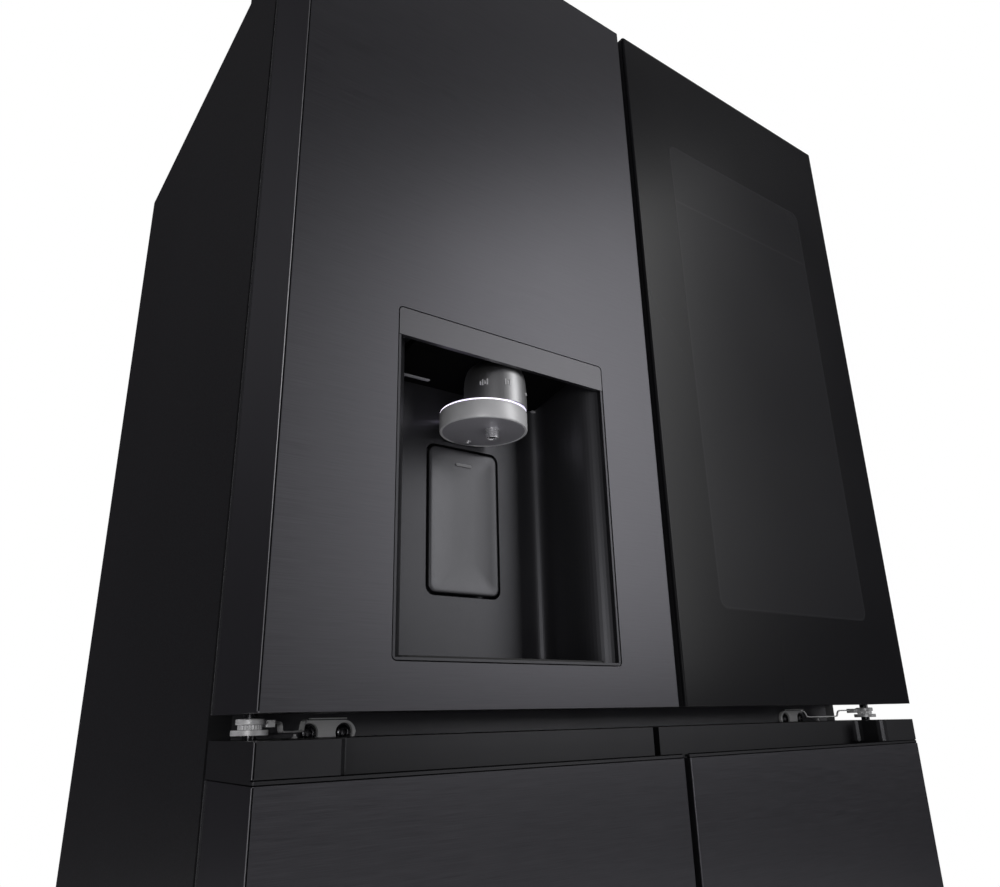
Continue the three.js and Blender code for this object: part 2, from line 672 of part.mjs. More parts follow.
add('left_door_skin', leftDoorSkin(), 'darkSteel');
add('left_door_inner', leftInnerDoor(), 'liner');
add('left_door_seal', ring(SEAL.outer, SEAL.inner, SEAL.depth0, SEAL.depth1, 880, 1776, SEAL.width), 'seal');
add('dispenser_housing', dispenserHousing(), 'blackPlastic');
add('dispenser_fascia', fascia(), 'darkSteel');
add('nozzle_column', nozzleColumn(), 'blackPlastic');
add('nozzle_light_ring', lightRing(), 'light');
add('nozzle_disc', nozzleDisc(), 'silver');
add('water_spout', waterSpout(), 'chrome');
add('dispenser_lever', leverPad(), 'blackPlastic');
add('ice_maker_box', iceMakerBox(), 'liner');
add('left_door_bin', doorBin(-386, -50, 925, 1035, 232), 'clear');
add('flip_mullion', flipMullion(), 'paint');

// ---- upper right door: an inner door with an opening, and a glass outer door ----
const GLASS_PIVOT = { x: 442, depth: 36 };
const INNER = { front: 52, x0: 8, x1: 452, low: 873, high: 1782 };
const THROUGH = { x0: 62, x1: 378, low: 935, high: 1671 };
const NOTCH = { x: 426, depth: 22, height: 8 };

function rightInnerDoor() {
  const slab = block(INNER.x0, INNER.x1, INNER.front, DOOR_THICK, INNER.low, INNER.high);
  const plug = block(34, 398, DOOR_THICK - 1, DOOR_THICK + 30, 903, 1703);
  const arms = [];
  for (const [z0, z1, pin0, pin1] of [[874, 877, 876, 890], [1778, 1781, 1765, 1779]]) {
    arms.push(block(GLASS_PIVOT.x - 6, GLASS_PIVOT.x + 6, GLASS_PIVOT.depth - 6, INNER.front + 1, z0, z1));
    arms.push(post(3.5, GLASS_PIVOT.x, GLASS_PIVOT.depth, pin0, pin1));
  }
  return cut(
    join(slab, plug, ...arms),
    block(THROUGH.x0, THROUGH.x1, INNER.front - 5, DOOR_THICK + 35, THROUGH.low, THROUGH.high),
    mirrored(hingeHole(INNER.high)),
    mirrored(hingeHole(INNER.low)),
  );
}

function glassPanel() {
  const plan = rounded(UPPER_DOOR.inner, HALF, y(0), y(4), [3, 3, 0, 0]);
  return raise(plan, UPPER_DOOR.low, UPPER_DOOR.high);
}

function glassDoorFrame() {
  const { inner, low, high } = UPPER_DOOR;
  const slab = block(inner, HALF, 4 + GAP, 42, low, high);
  const plug = block(20, 405, 41, 50.5, 892, 1763);
  const window = push(rounded(WINDOW.left, WINDOW.right, WINDOW.low, WINDOW.high, [10, 10, 10, 10]), 0, 60);
  const notches = [[low - 1, low + NOTCH.height], [high - NOTCH.height, high + 1]].map(([z0, z1]) => (
    block(NOTCH.x, HALF + 1, NOTCH.depth, 60, z0, z1)));
  const holes = [low, high].map((z) => post(4.5, GLASS_PIVOT.x, GLASS_PIVOT.depth, z - 22, z + 22));
  return cut(join(slab, plug), window, ...notches, ...holes);
}

const rightSeal = ring(SEAL.outer, SEAL.inner, SEAL.depth0, SEAL.depth1, 880, 1776, SEAL.width);
add('right_door_inner', rightInnerDoor(), 'liner');
add('right_door_seal', mirrored(rightSeal), 'seal');
add('right_door_bin', tub(THROUGH.x0 + 1, THROUGH.x1 - 1, 120, 240, 1000, 1100, 3), 'clear');
add('glass_door_frame', glassDoorFrame(), 'blackPlastic');
add('glass_door_panel', glassPanel(), 'blackGlass');

// ---- lower doors, made for the left side and mirrored ----
// The plan of the grip channel: it starts near the outer end with a turned-in lip.
function channelPlan(frontDepth) {
  const { end, kink, back } = POCKET;
  const turn = 16;
  const plan = new THREE.Shape();
  plan.moveTo(-kink, y(frontDepth - 2));
  if (frontDepth <= 0) {
    plan.quadraticCurveTo(-end, y(0), -end, y(15));
  } else {
    plan.lineTo(-end, y(frontDepth));
  }
  plan.lineTo(-end, y(back - turn));
  plan.quadraticCurveTo(-end, y(back), -end + turn, y(back));
  plan.lineTo(5, y(back));
  plan.lineTo(5, y(frontDepth - 2));
  return plan;
}

const CAP_LOW = 778;

function handleCap() {
  const { inner, high } = LOWER_DOOR;
  const edge = SHEET + GAP;
  const wide = raise(rounded(-HALF, -inner, y(0.8), y(DOOR_THICK), [CORNER, CORNER, 0, 0]), POCKET.lipLow, high);
  const tongue = block(-HALF + edge + 1, -inner - edge - 1, edge + 1, SKIN_DEPTH - GAP, CAP_LOW, POCKET.lipLow + 1);
  const lipPlan = outline([
    [-POCKET.end, y(POCKET.lip)], [-POCKET.end, y(POCKET.back)], [5, y(POCKET.back)], [5, y(POCKET.lip)],
  ]);
  return cut(
    join(wide, tongue),
    raise(channelPlan(0), POCKET.lipTop, high + 5, 6),
    raise(lipPlan, POCKET.floor, POCKET.lipTop + 1),
    block(-HALF - 1, 5, -1, SHADOW_LINE.depth, POCKET.lipTop, SHADOW_LINE.high),
    hingeHole(high),
  );
}

function lowerInner() {
  const { inner, low, skinHigh } = LOWER_DOOR;
  const body = innerDoor(inner, low, CAP_LOW + 1, low, skinHigh, { x0: -398, x1: -38, low: 124, high: 812 });
  return cut(body, hingeHole(low));
}

function lowerSkin() {
  const { inner, low, skinHigh } = LOWER_DOOR;
  return cut(doorSkin(inner, low, skinHigh, true), hingeHole(low));
}

addPair((side) => `lower_${side}_skin`, lowerSkin(), 'darkSteel');
addPair((side) => `lower_${side}_inner`, lowerInner(), 'liner');
addPair((side) => `lower_${side}_handle_cap`, handleCap(), 'blackPlastic');
addPair((side) => `lower_${side}_seal`, ring(SEAL.outer, SEAL.inner, SEAL.depth0, SEAL.depth1, 74, 838, SEAL.width),
  'seal');

export default fridge;
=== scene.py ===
import math

import bmesh
import bpy
from mathutils import Matrix, Vector


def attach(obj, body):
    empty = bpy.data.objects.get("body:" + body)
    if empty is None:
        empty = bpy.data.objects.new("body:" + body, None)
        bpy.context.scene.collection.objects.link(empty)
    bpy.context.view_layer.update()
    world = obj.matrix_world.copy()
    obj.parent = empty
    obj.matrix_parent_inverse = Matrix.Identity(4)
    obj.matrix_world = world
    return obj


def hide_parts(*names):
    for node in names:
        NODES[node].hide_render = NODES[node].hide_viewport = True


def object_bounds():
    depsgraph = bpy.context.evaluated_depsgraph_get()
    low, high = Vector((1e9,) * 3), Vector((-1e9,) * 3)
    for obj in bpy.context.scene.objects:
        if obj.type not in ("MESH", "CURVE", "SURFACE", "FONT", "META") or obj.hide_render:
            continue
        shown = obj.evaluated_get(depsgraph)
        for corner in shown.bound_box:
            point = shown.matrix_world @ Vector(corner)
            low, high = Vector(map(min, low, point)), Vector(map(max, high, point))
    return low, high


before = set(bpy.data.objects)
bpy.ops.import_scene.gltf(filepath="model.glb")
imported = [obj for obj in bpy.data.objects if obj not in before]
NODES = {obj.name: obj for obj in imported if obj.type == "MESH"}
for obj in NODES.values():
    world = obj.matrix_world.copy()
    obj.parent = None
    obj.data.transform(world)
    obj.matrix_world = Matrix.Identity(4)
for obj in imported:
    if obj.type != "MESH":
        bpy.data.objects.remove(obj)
CAD_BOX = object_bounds()
SCENE = bpy.context.scene

# The doors' front plane is the CAD box's near face; depths are measured back from it.
FRONT = CAD_BOX[0][1]
MM = 0.001


def depth(value):
    """A depth in millimetres behind the doors' front face, as a y in metres."""
    return FRONT + value * MM


# ---------------------------------------------------------------- camera

CAMERA_PLACE = (-0.6683, -0.9706, 0.8612)      # metres
CAMERA_TURN = (36.065, 19.303, -1.380)         # yaw to the right, pitch up and roll, in degrees
CAMERA_LENS, CAMERA_SENSOR = 28.51, 36.0       # millimetres


def add_camera():
    """The photograph's view: close, low and left of the middle, looking up and right."""
    data = bpy.data.cameras.new("camera")
    data.lens = CAMERA_LENS
    data.sensor_width = CAMERA_SENSOR
    data.clip_start = 0.02
    yaw, pitch, roll = (math.radians(angle) for angle in CAMERA_TURN)
    level_right = Vector((math.cos(yaw), -math.sin(yaw), 0.0))
    forward = Vector((math.sin(yaw) * math.cos(pitch), math.cos(yaw) * math.cos(pitch), math.sin(pitch)))
    level_up = level_right.cross(forward)
    right = level_right * math.cos(roll) + level_up * math.sin(roll)
    up = level_up * math.cos(roll) - level_right * math.sin(roll)
    turn = Matrix((right, up, -forward)).transposed()
    camera = bpy.data.objects.new("camera", data)
    camera.matrix_world = Matrix.Translation(CAMERA_PLACE) @ turn.to_4x4()
    SCENE.collection.objects.link(camera)
    SCENE.camera = camera


add_camera()


# ---------------------------------------------------------------- node helpers

class Shader:
    """A small builder for one procedural material."""

    def __init__(self, name):
        self.material = bpy.data.materials.new(name)
        self.material.use_nodes = True
        self.tree = self.material.node_tree
        self.tree.nodes.clear()
        self.out = self.tree.nodes.new("ShaderNodeOutputMaterial")
        self.main = self.tree.nodes.new("ShaderNodeBsdfPrincipled")
        self.tree.links.new(self.main.outputs[0], self.out.inputs["Surface"])

    def node(self, kind, **values):
        made = self.tree.nodes.new(kind)
        for key, value in values.items():
            setattr(made, key, value)
        return made

    def link(self, source, target):
        self.tree.links.new(source, target)

    def set(self, **values):
        names = {key.lower().replace(" ", "_"): key for key in self.main.inputs.keys()}
        for key, value in values.items():
            self.main.inputs[names[key]].default_value = value
        return self

    def place(self, scale=(1, 1, 1)):
        """Object coordinates in metres, scaled."""
        coords = self.node("ShaderNodeTexCoord")
        mapping = self.node("ShaderNodeMapping")
        mapping.inputs["Scale"].default_value = scale
        self.link(coords.outputs["Object"], mapping.inputs["Vector"])
        return mapping.outputs["Vector"]

    def noise(self, scale, detail, roughness=0.5):
        made = self.node("ShaderNodeTexNoise")
        made.inputs["Scale"].default_value = 1.0
        made.inputs["Detail"].default_value = detail
        made.inputs["Roughness"].default_value = roughness
        self.link(self.place(scale), made.inputs["Vector"])
        return made.outputs["Fac"]

    def spread(self, value, low, high, start, end):
        """Maps a value in start..end to low..high."""
        made = self.node("ShaderNodeMapRange")
        made.inputs["From Min"].default_value = start
        made.inputs["From Max"].default_value = end
        made.inputs["To Min"].default_value = low
        made.inputs["To Max"].default_value = high
        self.link(value, made.inputs["Value"])
        return made.outputs["Result"]

    def math(self, operation, a, b=0.0):
        made = self.node("ShaderNodeMath", operation=operation)
        for socket, value in zip(made.inputs, (a, b)):
            if isinstance(value, (int, float)):
                socket.default_value = value
            else:
                self.link(value, socket)
        return made.outputs[0]

    def colours(self, value, stops):
        """A colour ramp from (position, rgb) stops."""
        ramp = self.node("ShaderNodeValToRGB")
        elements = ramp.color_ramp.elements
        while len(elements) < len(stops):
            elements.new(0.5)
        for element, (position, rgb) in zip(elements, stops):
            element.position = position
            element.color = (*rgb, 1.0)
        self.link(value, ramp.inputs["Fac"])
        return ramp.outputs["Color"]

    def base(self, colour):
        self.link(colour, self.main.inputs["Base Color"])
        return self

    def rough(self, value):
        self.link(value, self.main.inputs["Roughness"])
        return self

    def bump(self, height, strength, distance):
        made = self.node("ShaderNodeBump")
        made.inputs["Strength"].default_value = strength
        made.inputs["Distance"].default_value = distance
        self.link(height, made.inputs["Height"])
        self.link(made.outputs["Normal"], self.main.inputs["Normal"])
        return self


def shade(rgb, factor):
    return tuple(min(1.0, channel * factor) for channel in rgb)


def grained(name, rgb, roughness, grain, bump, blotch, mottle, duller, relief):
    """Fine grain, slight mottling in blotches and slightly uneven gloss."""
    made = Shader(name)
    cloud = made.noise((blotch, blotch, blotch), 3)
    fine = made.noise((grain, grain, grain), 2)
    made.base(made.colours(cloud, [(0.25, shade(rgb, 1 - mottle)), (0.75, shade(rgb, 1 + mottle))]))
    made.rough(made.spread(fine, roughness - duller[0], roughness + duller[1], 0.3, 0.7))
    return made.bump(fine, bump, relief)


def plastic(name, rgb, roughness, grain=900, bump=0.15, specular=0.5, mottle=0.13):
    """Moulded plastic."""
    made = grained(name, rgb, roughness, grain, bump, 9, mottle, (0.07, 0.09), 0.00012)
    return made.set(specular_ior_level=specular).material


def satin(name, rgb, roughness, bump=0.06, metallic=0.85):
    """Moulding with a satin metallic paint."""
    made = grained(name, rgb, roughness, 1400, bump, 6, 0.07, (0.05, 0.06), 0.00008)
    return made.set(metallic=metallic).material


def painted(name, rgb, roughness, grain=1100, bump=0.2, metallic=0.0):
    """Powder coat with orange peel."""
    made = grained(name, rgb, roughness, grain, bump, 3, 0.12, (0.08, 0.08), 0.0001)
    return made.set(metallic=metallic).material


def brushed(name, rgb, roughness, tone, along="x", metallic=1.0):
    """Brushed metal sheet with streaks along one axis."""
    made = Shader(name)
    fine = {"x": (26, 1900, 2600), "z": (2600, 1900, 26)}[along]
    broad = tuple(v / 4 for v in fine)
    streaks = made.noise(fine, 2, 0.6)
    bands = made.noise(broad, 3, 0.6)
    cloud = made.noise((2.2, 2.2, 2.2), 2)
    mixed = made.math("ADD", made.math("MULTIPLY", streaks, 0.8), made.math("MULTIPLY", bands, 0.2))
    low, high = shade(rgb, 1 - tone), shade(rgb, 1 + tone)
    made.base(made.colours(mixed, [(0.3, low), (0.7, high)]))
    uneven = made.math("ADD", made.math("MULTIPLY", mixed, 0.7), made.math("MULTIPLY", cloud, 0.3))
    made.rough(made.spread(uneven, roughness - 0.06, roughness + 0.08, 0.3, 0.7))
    made.bump(mixed, 0.10, 0.00008)
    made.set(metallic=metallic, anisotropic=0.45)
    tangent = made.node("ShaderNodeTangent", direction_type="RADIAL", axis="Z")
    made.link(tangent.outputs[0], made.main.inputs["Tangent"])
    return made.material


def clear(name, rgb, roughness, ior):
    """Clear plastic or glass with faint waviness."""
    made = Shader(name)
    wave = made.noise((30, 30, 30), 2)
    made.base(made.colours(wave, [(0.3, shade(rgb, 0.96)), (0.7, rgb)]))
    made.rough(made.spread(wave, roughness, roughness + 0.05, 0.3, 0.7))
    made.bump(wave, 0.03, 0.0004)
    made.set(transmission_weight=0.92, ior=ior)
    return made.material


MAT = {
    "steel": brushed("brushed_dark_steel", (0.1225, 0.121, 0.1325), 0.385, tone=0.12),
    "fascia": brushed("brushed_fascia", (0.140, 0.1385, 0.148), 0.40, tone=0.11),
    "side": painted("textured_side_paint", (0.016, 0.016, 0.0175), 0.42, metallic=0.2),
    "bar": satin("crossbar_paint", (0.15, 0.15, 0.158), 0.42),
    "galvanised": brushed("galvanised_sheet", (0.42, 0.43, 0.43), 0.42, tone=0.1),
    "foam": painted("rigid_foam", (0.66, 0.53, 0.30), 0.9, grain=260, bump=0.6),
    "liner": plastic("liner_white", (0.80, 0.82, 0.83), 0.32, grain=400, bump=0.05, mottle=0.02),
    "trim": plastic("frosted_trim", (0.64, 0.68, 0.70), 0.28, grain=500, bump=0.05, mottle=0.03),
    "moulding": plastic("black_moulding", (0.018, 0.018, 0.02), 0.48, bump=0.3),
    "rubber": plastic("foot_rubber", (0.022, 0.022, 0.022), 0.75, grain=600, bump=0.4),
    "enamel": painted("compressor_enamel", (0.008, 0.008, 0.009), 0.32, grain=500),
    "zinc": brushed("bright_zinc", (0.97, 0.97, 0.98), 0.38, tone=0.03, metallic=0.2),
    "glass": clear("shelf_glass", (0.86, 0.95, 0.94), 0.02, 1.52),
    "clear": clear("clear_plastic", (0.90, 0.95, 0.97), 0.06, 1.46),
    "seal": plastic("door_seal", (0.05, 0.05, 0.053), 0.6, grain=300, bump=0.3),
    "dispenser": satin("dispenser_black", (0.088, 0.088, 0.095), 0.42),
    "column": brushed("column_metal", (0.56, 0.56, 0.57), 0.42, along="z", tone=0.05),
    "aluminium": brushed("satin_aluminium", (0.98, 0.98, 1.0), 0.38, tone=0.02, metallic=0.2),
    "under": satin("disc_underside", (0.50, 0.49, 0.53), 0.42, metallic=0.3),
    "chrome": brushed("spout_chrome", (0.95, 0.95, 0.97), 0.26, tone=0.03, metallic=0.75),
    "lever": satin("lever_black", (0.105, 0.105, 0.112), 0.38),
    "mark": plastic("mark_grey", (0.92, 0.92, 0.93), 0.6, bump=0.03, mottle=0.03),
    "slot": plastic("slot_grey", (0.34, 0.34, 0.35), 0.5, bump=0.03),
    # Painted shade: near-black filling for the doors' grooves and for the dark reflection line on their
    # rounded edges.
    "shadow": plastic("painted_shade_lines", (0.004, 0.004, 0.0045), 0.9, bump=0.03, specular=0.1),
    # Black plastic darkened past its own colour as painted shade, for the recess roof and the plug in the
    # spout's bore.
    "roof": plastic("recess_roof_black_and_painted_shade", (0.0018, 0.0018, 0.002), 0.95, bump=0.05, specular=0.08),
    "screw": painted("screw_dark_zinc", (0.10, 0.10, 0.105), 0.28, metallic=1.0),
    # Painted highlight: a light strip on the doors' rounded outer edges.
    "edge": brushed("painted_edge_highlight", (0.62, 0.62, 0.64), 0.36, along="z", tone=0.04, metallic=0.6),
    "mullion": painted("mullion_paint", (0.05, 0.05, 0.053), 0.4),
    "frame": plastic("frame_black", (0.02, 0.02, 0.022), 0.45, bump=0.3),
    "cap": satin("handle_cap", (0.062, 0.062, 0.066), 0.40, bump=0.03),
}


def lit(name, grain, base, glow, strength, roughness):
    """A lit cover, whose base and glow each run unevenly between two colours."""
    made = Shader(name)
    wave = made.noise((grain, grain, grain), 2)
    made.base(made.colours(wave, list(zip((0.3, 0.7), base))))
    made.link(made.colours(wave, list(zip((0.3, 0.7), glow))), made.main.inputs["Emission Color"])
    made.set(emission_strength=strength, roughness=roughness)
    return made.material


def door_glass_material():
    """Dark tinted glass; the window's area is a little clearer than its printed surround."""
    made = Shader("door_glass")
    cloud = made.noise((3, 3, 3), 2)
    split = made.node("ShaderNodeSeparateXYZ")
    made.link(made.place(), split.inputs[0])

    def beyond(axis, middle, half):
        """How far past the window's straight sides a point is, in metres."""
        off = made.math("ABSOLUTE", made.math("SUBTRACT", split.outputs[axis], middle))
        return made.math("MAXIMUM", made.math("SUBTRACT", off, half), 0.0)

    middle_x, middle_z, rail_z = 0.2305, 1.305, 1.537
    half_width, half_height, radius = 0.150, 0.326, 0.012
    across = beyond("X", middle_x, half_width - radius)
    upward = beyond("Z", middle_z, half_height - radius)
    reach = made.math("SQRT", made.math("ADD", made.math("MULTIPLY", across, across),
                                        made.math("MULTIPLY", upward, upward)))
    gap = made.math("SUBTRACT", reach, radius)
    inside = made.spread(gap, 1.0, 0.0, -0.0008, 0.0008)
    edge = made.spread(made.math("ABSOLUTE", gap), 1.0, 0.0, 0.0, 0.0022)
    rail = made.math("ABSOLUTE", made.math("SUBTRACT", split.outputs["Z"], rail_z))
    rail = made.math("MULTIPLY", made.spread(rail, 1.0, 0.0, 0.0, 0.0025), inside)
    level = made.math("ADD", made.math("MULTIPLY", cloud, 0.16), made.math("MULTIPLY", inside, 0.42))
    level = made.math("ADD", level, made.math("MULTIPLY", made.math("MAXIMUM", edge, rail), 0.35))
    made.base(made.colours(level, [(0.0, (0.010, 0.010, 0.0115)), (1.0, (0.044, 0.044, 0.048))]))
    made.rough(made.spread(cloud, 0.23, 0.27, 0.3, 0.7))
    made.set(specular_ior_level=0.21)
    return made.material


def door_liner_material():
    """White liner plastic whose rim, in front of the gasket's face, is painted dark as shade in the gaps
    between the doors and the cabinet.
    """
    made = Shader("door_liner_painted_gap_shade")
    cloud = made.noise((9, 9, 9), 3)
    fine = made.noise((400, 400, 400), 2)
    split = made.node("ShaderNodeSeparateXYZ")
    made.link(made.place(), split.inputs[0])
    across = made.math("ABSOLUTE", split.outputs["X"])
    height = split.outputs["Z"]

    def outside(value, low, high):
        """1 where a value is under low or over high, in metres."""
        under = made.math("LESS_THAN", value, low)
        return made.math("MAXIMUM", under, made.math("GREATER_THAN", value, high))

    # Painted shade at the doors' sides, tops and bottoms, and in the belt between the upper and lower doors.
    belt = made.math("SUBTRACT", 1.0, outside(height, 0.8200, 0.8735))
    rim = made.math("MAXIMUM", outside(across, 0.0085, 0.4515), outside(height, 0.0655, 1.7805))
    rim = made.math("MAXIMUM", rim, belt)
    rim = made.math("MULTIPLY", rim, made.math("LESS_THAN", split.outputs["Y"], depth(111.8)))
    level = made.math("SUBTRACT", made.math("MULTIPLY", cloud, 0.04), rim)
    level = made.math("ADD", level, 0.96)
    # The dark stop is the painted gap shade; the light stop is the liner's own white.
    made.base(made.colours(level, [(0.1, (0.030, 0.030, 0.032)), (0.9, (0.80, 0.82, 0.83))]))
    made.rough(made.spread(fine, 0.26, 0.41, 0.3, 0.7))
    made.bump(fine, 0.05, 0.00012)
    return made.material


MAT.update({
    "door_glass": door_glass_material(),
    "door_liner_painted_gap_shade": door_liner_material(),
    "light": lit("light_guide", 60, ((0.80, 0.74, 1.0), (1.0, 0.96, 1.0)),
                 ((0.72, 0.66, 1.0), (1.0, 0.95, 1.0)), 1.5, 0.3),
    "lamp": lit("lamp_lens", 90, ((0.34, 0.34, 0.36), (0.40, 0.40, 0.42)), ((0.8, 0.8, 0.9), (1, 1, 1)),
                0.02, 0.25),
    "led": lit("compartment_led", 40, ((0.84, 0.85, 0.88), (0.90, 0.91, 0.94)),
               ((0.88, 0.92, 1.0), (0.95, 0.98, 1.0)), 0.3, 0.4),
})


# ---------------------------------------------------------------- looks of the CAD nodes

SHARP_ANGLE = 35       # degrees between faces from which an edge counts as sharp
SHEET_BEVEL = 0.4      # the small round on nearly every edge
MOULDED_BEVEL = 2.0    # the larger round of the hinge covers


def soften(item, width, segments, sharp):
    """Rounds an object's sharp edges; the width is in millimetres and the angle in degrees."""
    edge = item.modifiers.new("soft_edges", "BEVEL")
    edge.width = width * MM
    edge.segments = segments
    edge.limit_method = "ANGLE"
    edge.angle_limit = math.radians(sharp)
    edge.harden_normals = True


def dress(name, material, bevel):
    """Gives a CAD node its material, soft edges and smooth curved faces."""
    node = NODES[name]
    node.data.materials.clear()
    node.data.materials.append(MAT[material])
    node.data.shade_smooth()
    dissolve = node.modifiers.new("flat_faces", "DECIMATE")
    dissolve.decimate_type = "DISSOLVE"
    dissolve.angle_limit = math.radians(0.6)
    soften(node, bevel, 2, SHARP_ANGLE)


DRESS = {
    "steel": ["left_door_skin", "lower_left_skin", "lower_right_skin"],
    "fascia": ["dispenser_fascia"],
    "side": ["left_side_panel", "right_side_panel", "top_panel"],
    "bar": ["centre_crossbar"],
    "galvanised": ["back_panel", "base_frame", "machine_room_cover"],
    "foam": ["insulation_foam"],
    "liner": ["fresh_food_liner", "freezer_liner", "rear_duct_panel", "ice_maker_box"],
    "door_liner_painted_gap_shade": ["left_door_inner", "right_door_inner", "lower_left_inner", "lower_right_inner"],
    "moulding": ["toe_grille", "top_hinge_cover_left", "top_hinge_cover_right", "condenser_fan",
                 "power_inlet", "rear_roller_left", "rear_roller_right"],
    "rubber": ["levelling_foot_left", "levelling_foot_right"],
    "enamel": ["compressor", "condenser"],
    "zinc": ["top_hinge_left", "top_hinge_right", "mid_hinge_left", "mid_hinge_right",
             "bottom_hinge_left", "bottom_hinge_right"],
    "glass": ["glass_shelf_upper", "glass_shelf_lower"],
    "clear": ["crisper_drawer_left", "crisper_drawer_right", "freezer_drawer_left", "freezer_drawer_right",
              "left_door_bin", "right_door_bin"],
    "seal": ["left_door_seal", "right_door_seal", "lower_left_seal", "lower_right_seal"],
    "dispenser": ["dispenser_housing"],
    "column": ["nozzle_column"],
    "aluminium": ["nozzle_disc"],
    "chrome": ["water_spout"],
    "lever": ["dispenser_lever"],
    "mullion": ["flip_mullion"],
    "frame": ["glass_door_frame"],
    "cap": ["lower_left_handle_cap", "lower_right_handle_cap"],
    "light": ["nozzle_light_ring"],
    "door_glass": ["glass_door_panel"],
}
for material_name, node_names in DRESS.items():
    for node_name in node_names:
        dress(node_name, material_name, MOULDED_BEVEL if "hinge_cover" in node_name else SHEET_BEVEL)


# ---------------------------------------------------------------- mesh helpers

PLACES = {
    "z": lambda a, b, t: (a, b, t),      # outline (x, depth), drawn up
    "d": lambda a, b, t: (a, t, b),      # outline (x, z), drawn back
    "x": lambda a, b, t: (t, a, b),      # outline (depth, z), drawn across
}


class Mesh:
    """Closed solids in millimetres: x across, depth behind the doors' front face, z up."""

    def __init__(self, side=1):
        self.bm = bmesh.new()
        self.side = side     # -1 makes the mirror image

    def vert(self, point):
        x, back, z = point
        return self.bm.verts.new((self.side * x * MM, depth(back), z * MM))

    def skin(self, rings, loop=False):
        """Joins rings of points, each of which closes on itself; loop joins the last to the first."""
        rows = [[self.vert(point) for point in ring] for ring in rings]
        pairs = list(zip(rows, rows[1:])) + ([(rows[-1], rows[0])] if loop else [])
        for one, two in pairs:
            for i in range(len(one)):
                j = (i + 1) % len(one)
                self.bm.faces.new((one[i], one[j], two[j], two[i]))
        if not loop:
            self.bm.faces.new(rows[0][::-1])
            self.bm.faces.new(rows[-1])
        return self

    def prism(self, outline, low, high, place="z"):
        """An outline drawn out along an axis, or by a function of (a, b, t)."""
        put = PLACES[place] if isinstance(place, str) else place
        return self.skin([[put(a, b, t) for a, b in outline] for t in (low, high)])

    def block(self, x0, x1, d0, d1, z0, z1):
        return self.prism([(x0, d0), (x1, d0), (x1, d1), (x0, d1)], z0, z1)

    def lathe(self, profile, centre, axis="z", segments=72, ring=False):
        """A turned solid from (radius, distance along the axis); ring closes the profile."""
        cx, cd, cz = centre
        turn = {
            "z": lambda r, t, c, s: (cx + r * c, cd + r * s, cz + t),
            "d": lambda r, t, c, s: (cx + r * c, cd + t, cz + r * s),
        }[axis]
        rows = []
        for i in range(segments):
            angle = 2 * math.pi * i / segments
            rows.append([turn(max(r, 1e-3), t, math.cos(angle), math.sin(angle)) for r, t in profile])
        if ring:
            return self.skin(rows, loop=True)
        rows = [[row[i] for row in rows] for i in range(len(profile))]
        return self.skin(rows)

    def tube(self, points, radius, sides):
        """A round bar along points."""
        path = [Vector(point) for point in points]
        rings = []
        lead = Vector((0.3, 0.2, 1.0))
        for i, point in enumerate(path):
            along = (path[min(i + 1, len(path) - 1)] - path[max(i - 1, 0)]).normalized()
            across = lead - along * lead.dot(along)
            if across.length < 1e-4:
                across = along.orthogonal()
            across.normalize()
            lead = across
            upward = along.cross(across)
            rings.append([
                tuple(point + (across * math.cos(a) + upward * math.sin(a)) * radius)
                for a in (2 * math.pi * k / sides for k in range(sides))
            ])
        return self.skin(rings)

    def frame(self, profile, x0, x1, z0, z1):
        """A profile of (inset, depth) swept round a rectangle with mitred corners."""
        corners = []
        for sx, sz, x, z in ((1, 1, x0, z0), (-1, 1, x1, z0), (-1, -1, x1, z1), (1, -1, x0, z1)):
            corners.append([(x + sx * inset, back, z + sz * inset) for inset, back in profile])
        return self.skin(corners, loop=True)

    def layers(self, x0, x1, z0, z1, rows, steps):
        """Round-cornered rectangles joined from front to back; each row is (inset, depth, radius)."""
        rings = []
        for inset, back, radius in rows:
            outline = rounded(x0 + inset, x1 - inset, z0 + inset, z1 - inset, radius, steps)
            rings.append([(x, back, z) for x, z in outline])
        return self.skin(rings)


def arc(ca, cb, radius, start, end, steps):
    """Points on a circle from one angle in degrees to another."""
    points = []
    for i in range(steps + 1):
        angle = math.radians(start + (end - start) * i / steps)
        points.append((ca + radius * math.cos(angle), cb + radius * math.sin(angle)))
    return points


def rounded(a0, a1, b0, b1, radius, steps=6):
    """A rectangle's outline with round corners."""
    left, right, low, high = a0 + radius, a1 - radius, b0 + radius, b1 - radius
    points = []
    for a, b, start in ((left, low, 180), (right, low, 270), (right, high, 0), (left, high, 90)):
        points += arc(a, b, radius, start, start + 90, steps)
    return points


def moved(points, da, db):
    """An outline or profile shifted in both directions."""
    return [(a + da, b + db) for a, b in points]


def polygon(ca, cb, count, radius, turn=0, notch=0):
    """A regular outline; a notch pulls every second corner in."""
    outline = []
    for k in range(count):
        angle = math.radians(360 / count * k + turn)
        r = radius - notch * (k % 2)
        outline.append((ca + r * math.cos(angle), cb + r * math.sin(angle)))
    return outline


def band(points, thick):
    """The outline of a strip of even thickness that follows points."""
    path = [Vector(point) for point in points]
    upper = []
    for i, point in enumerate(path):
        along = (path[min(i + 1, len(path) - 1)] - path[max(i - 1, 0)]).normalized()
        upper.append(point + Vector((-along.y, along.x)) * thick)
    return [tuple(point) for point in path] + [tuple(point) for point in reversed(upper)]


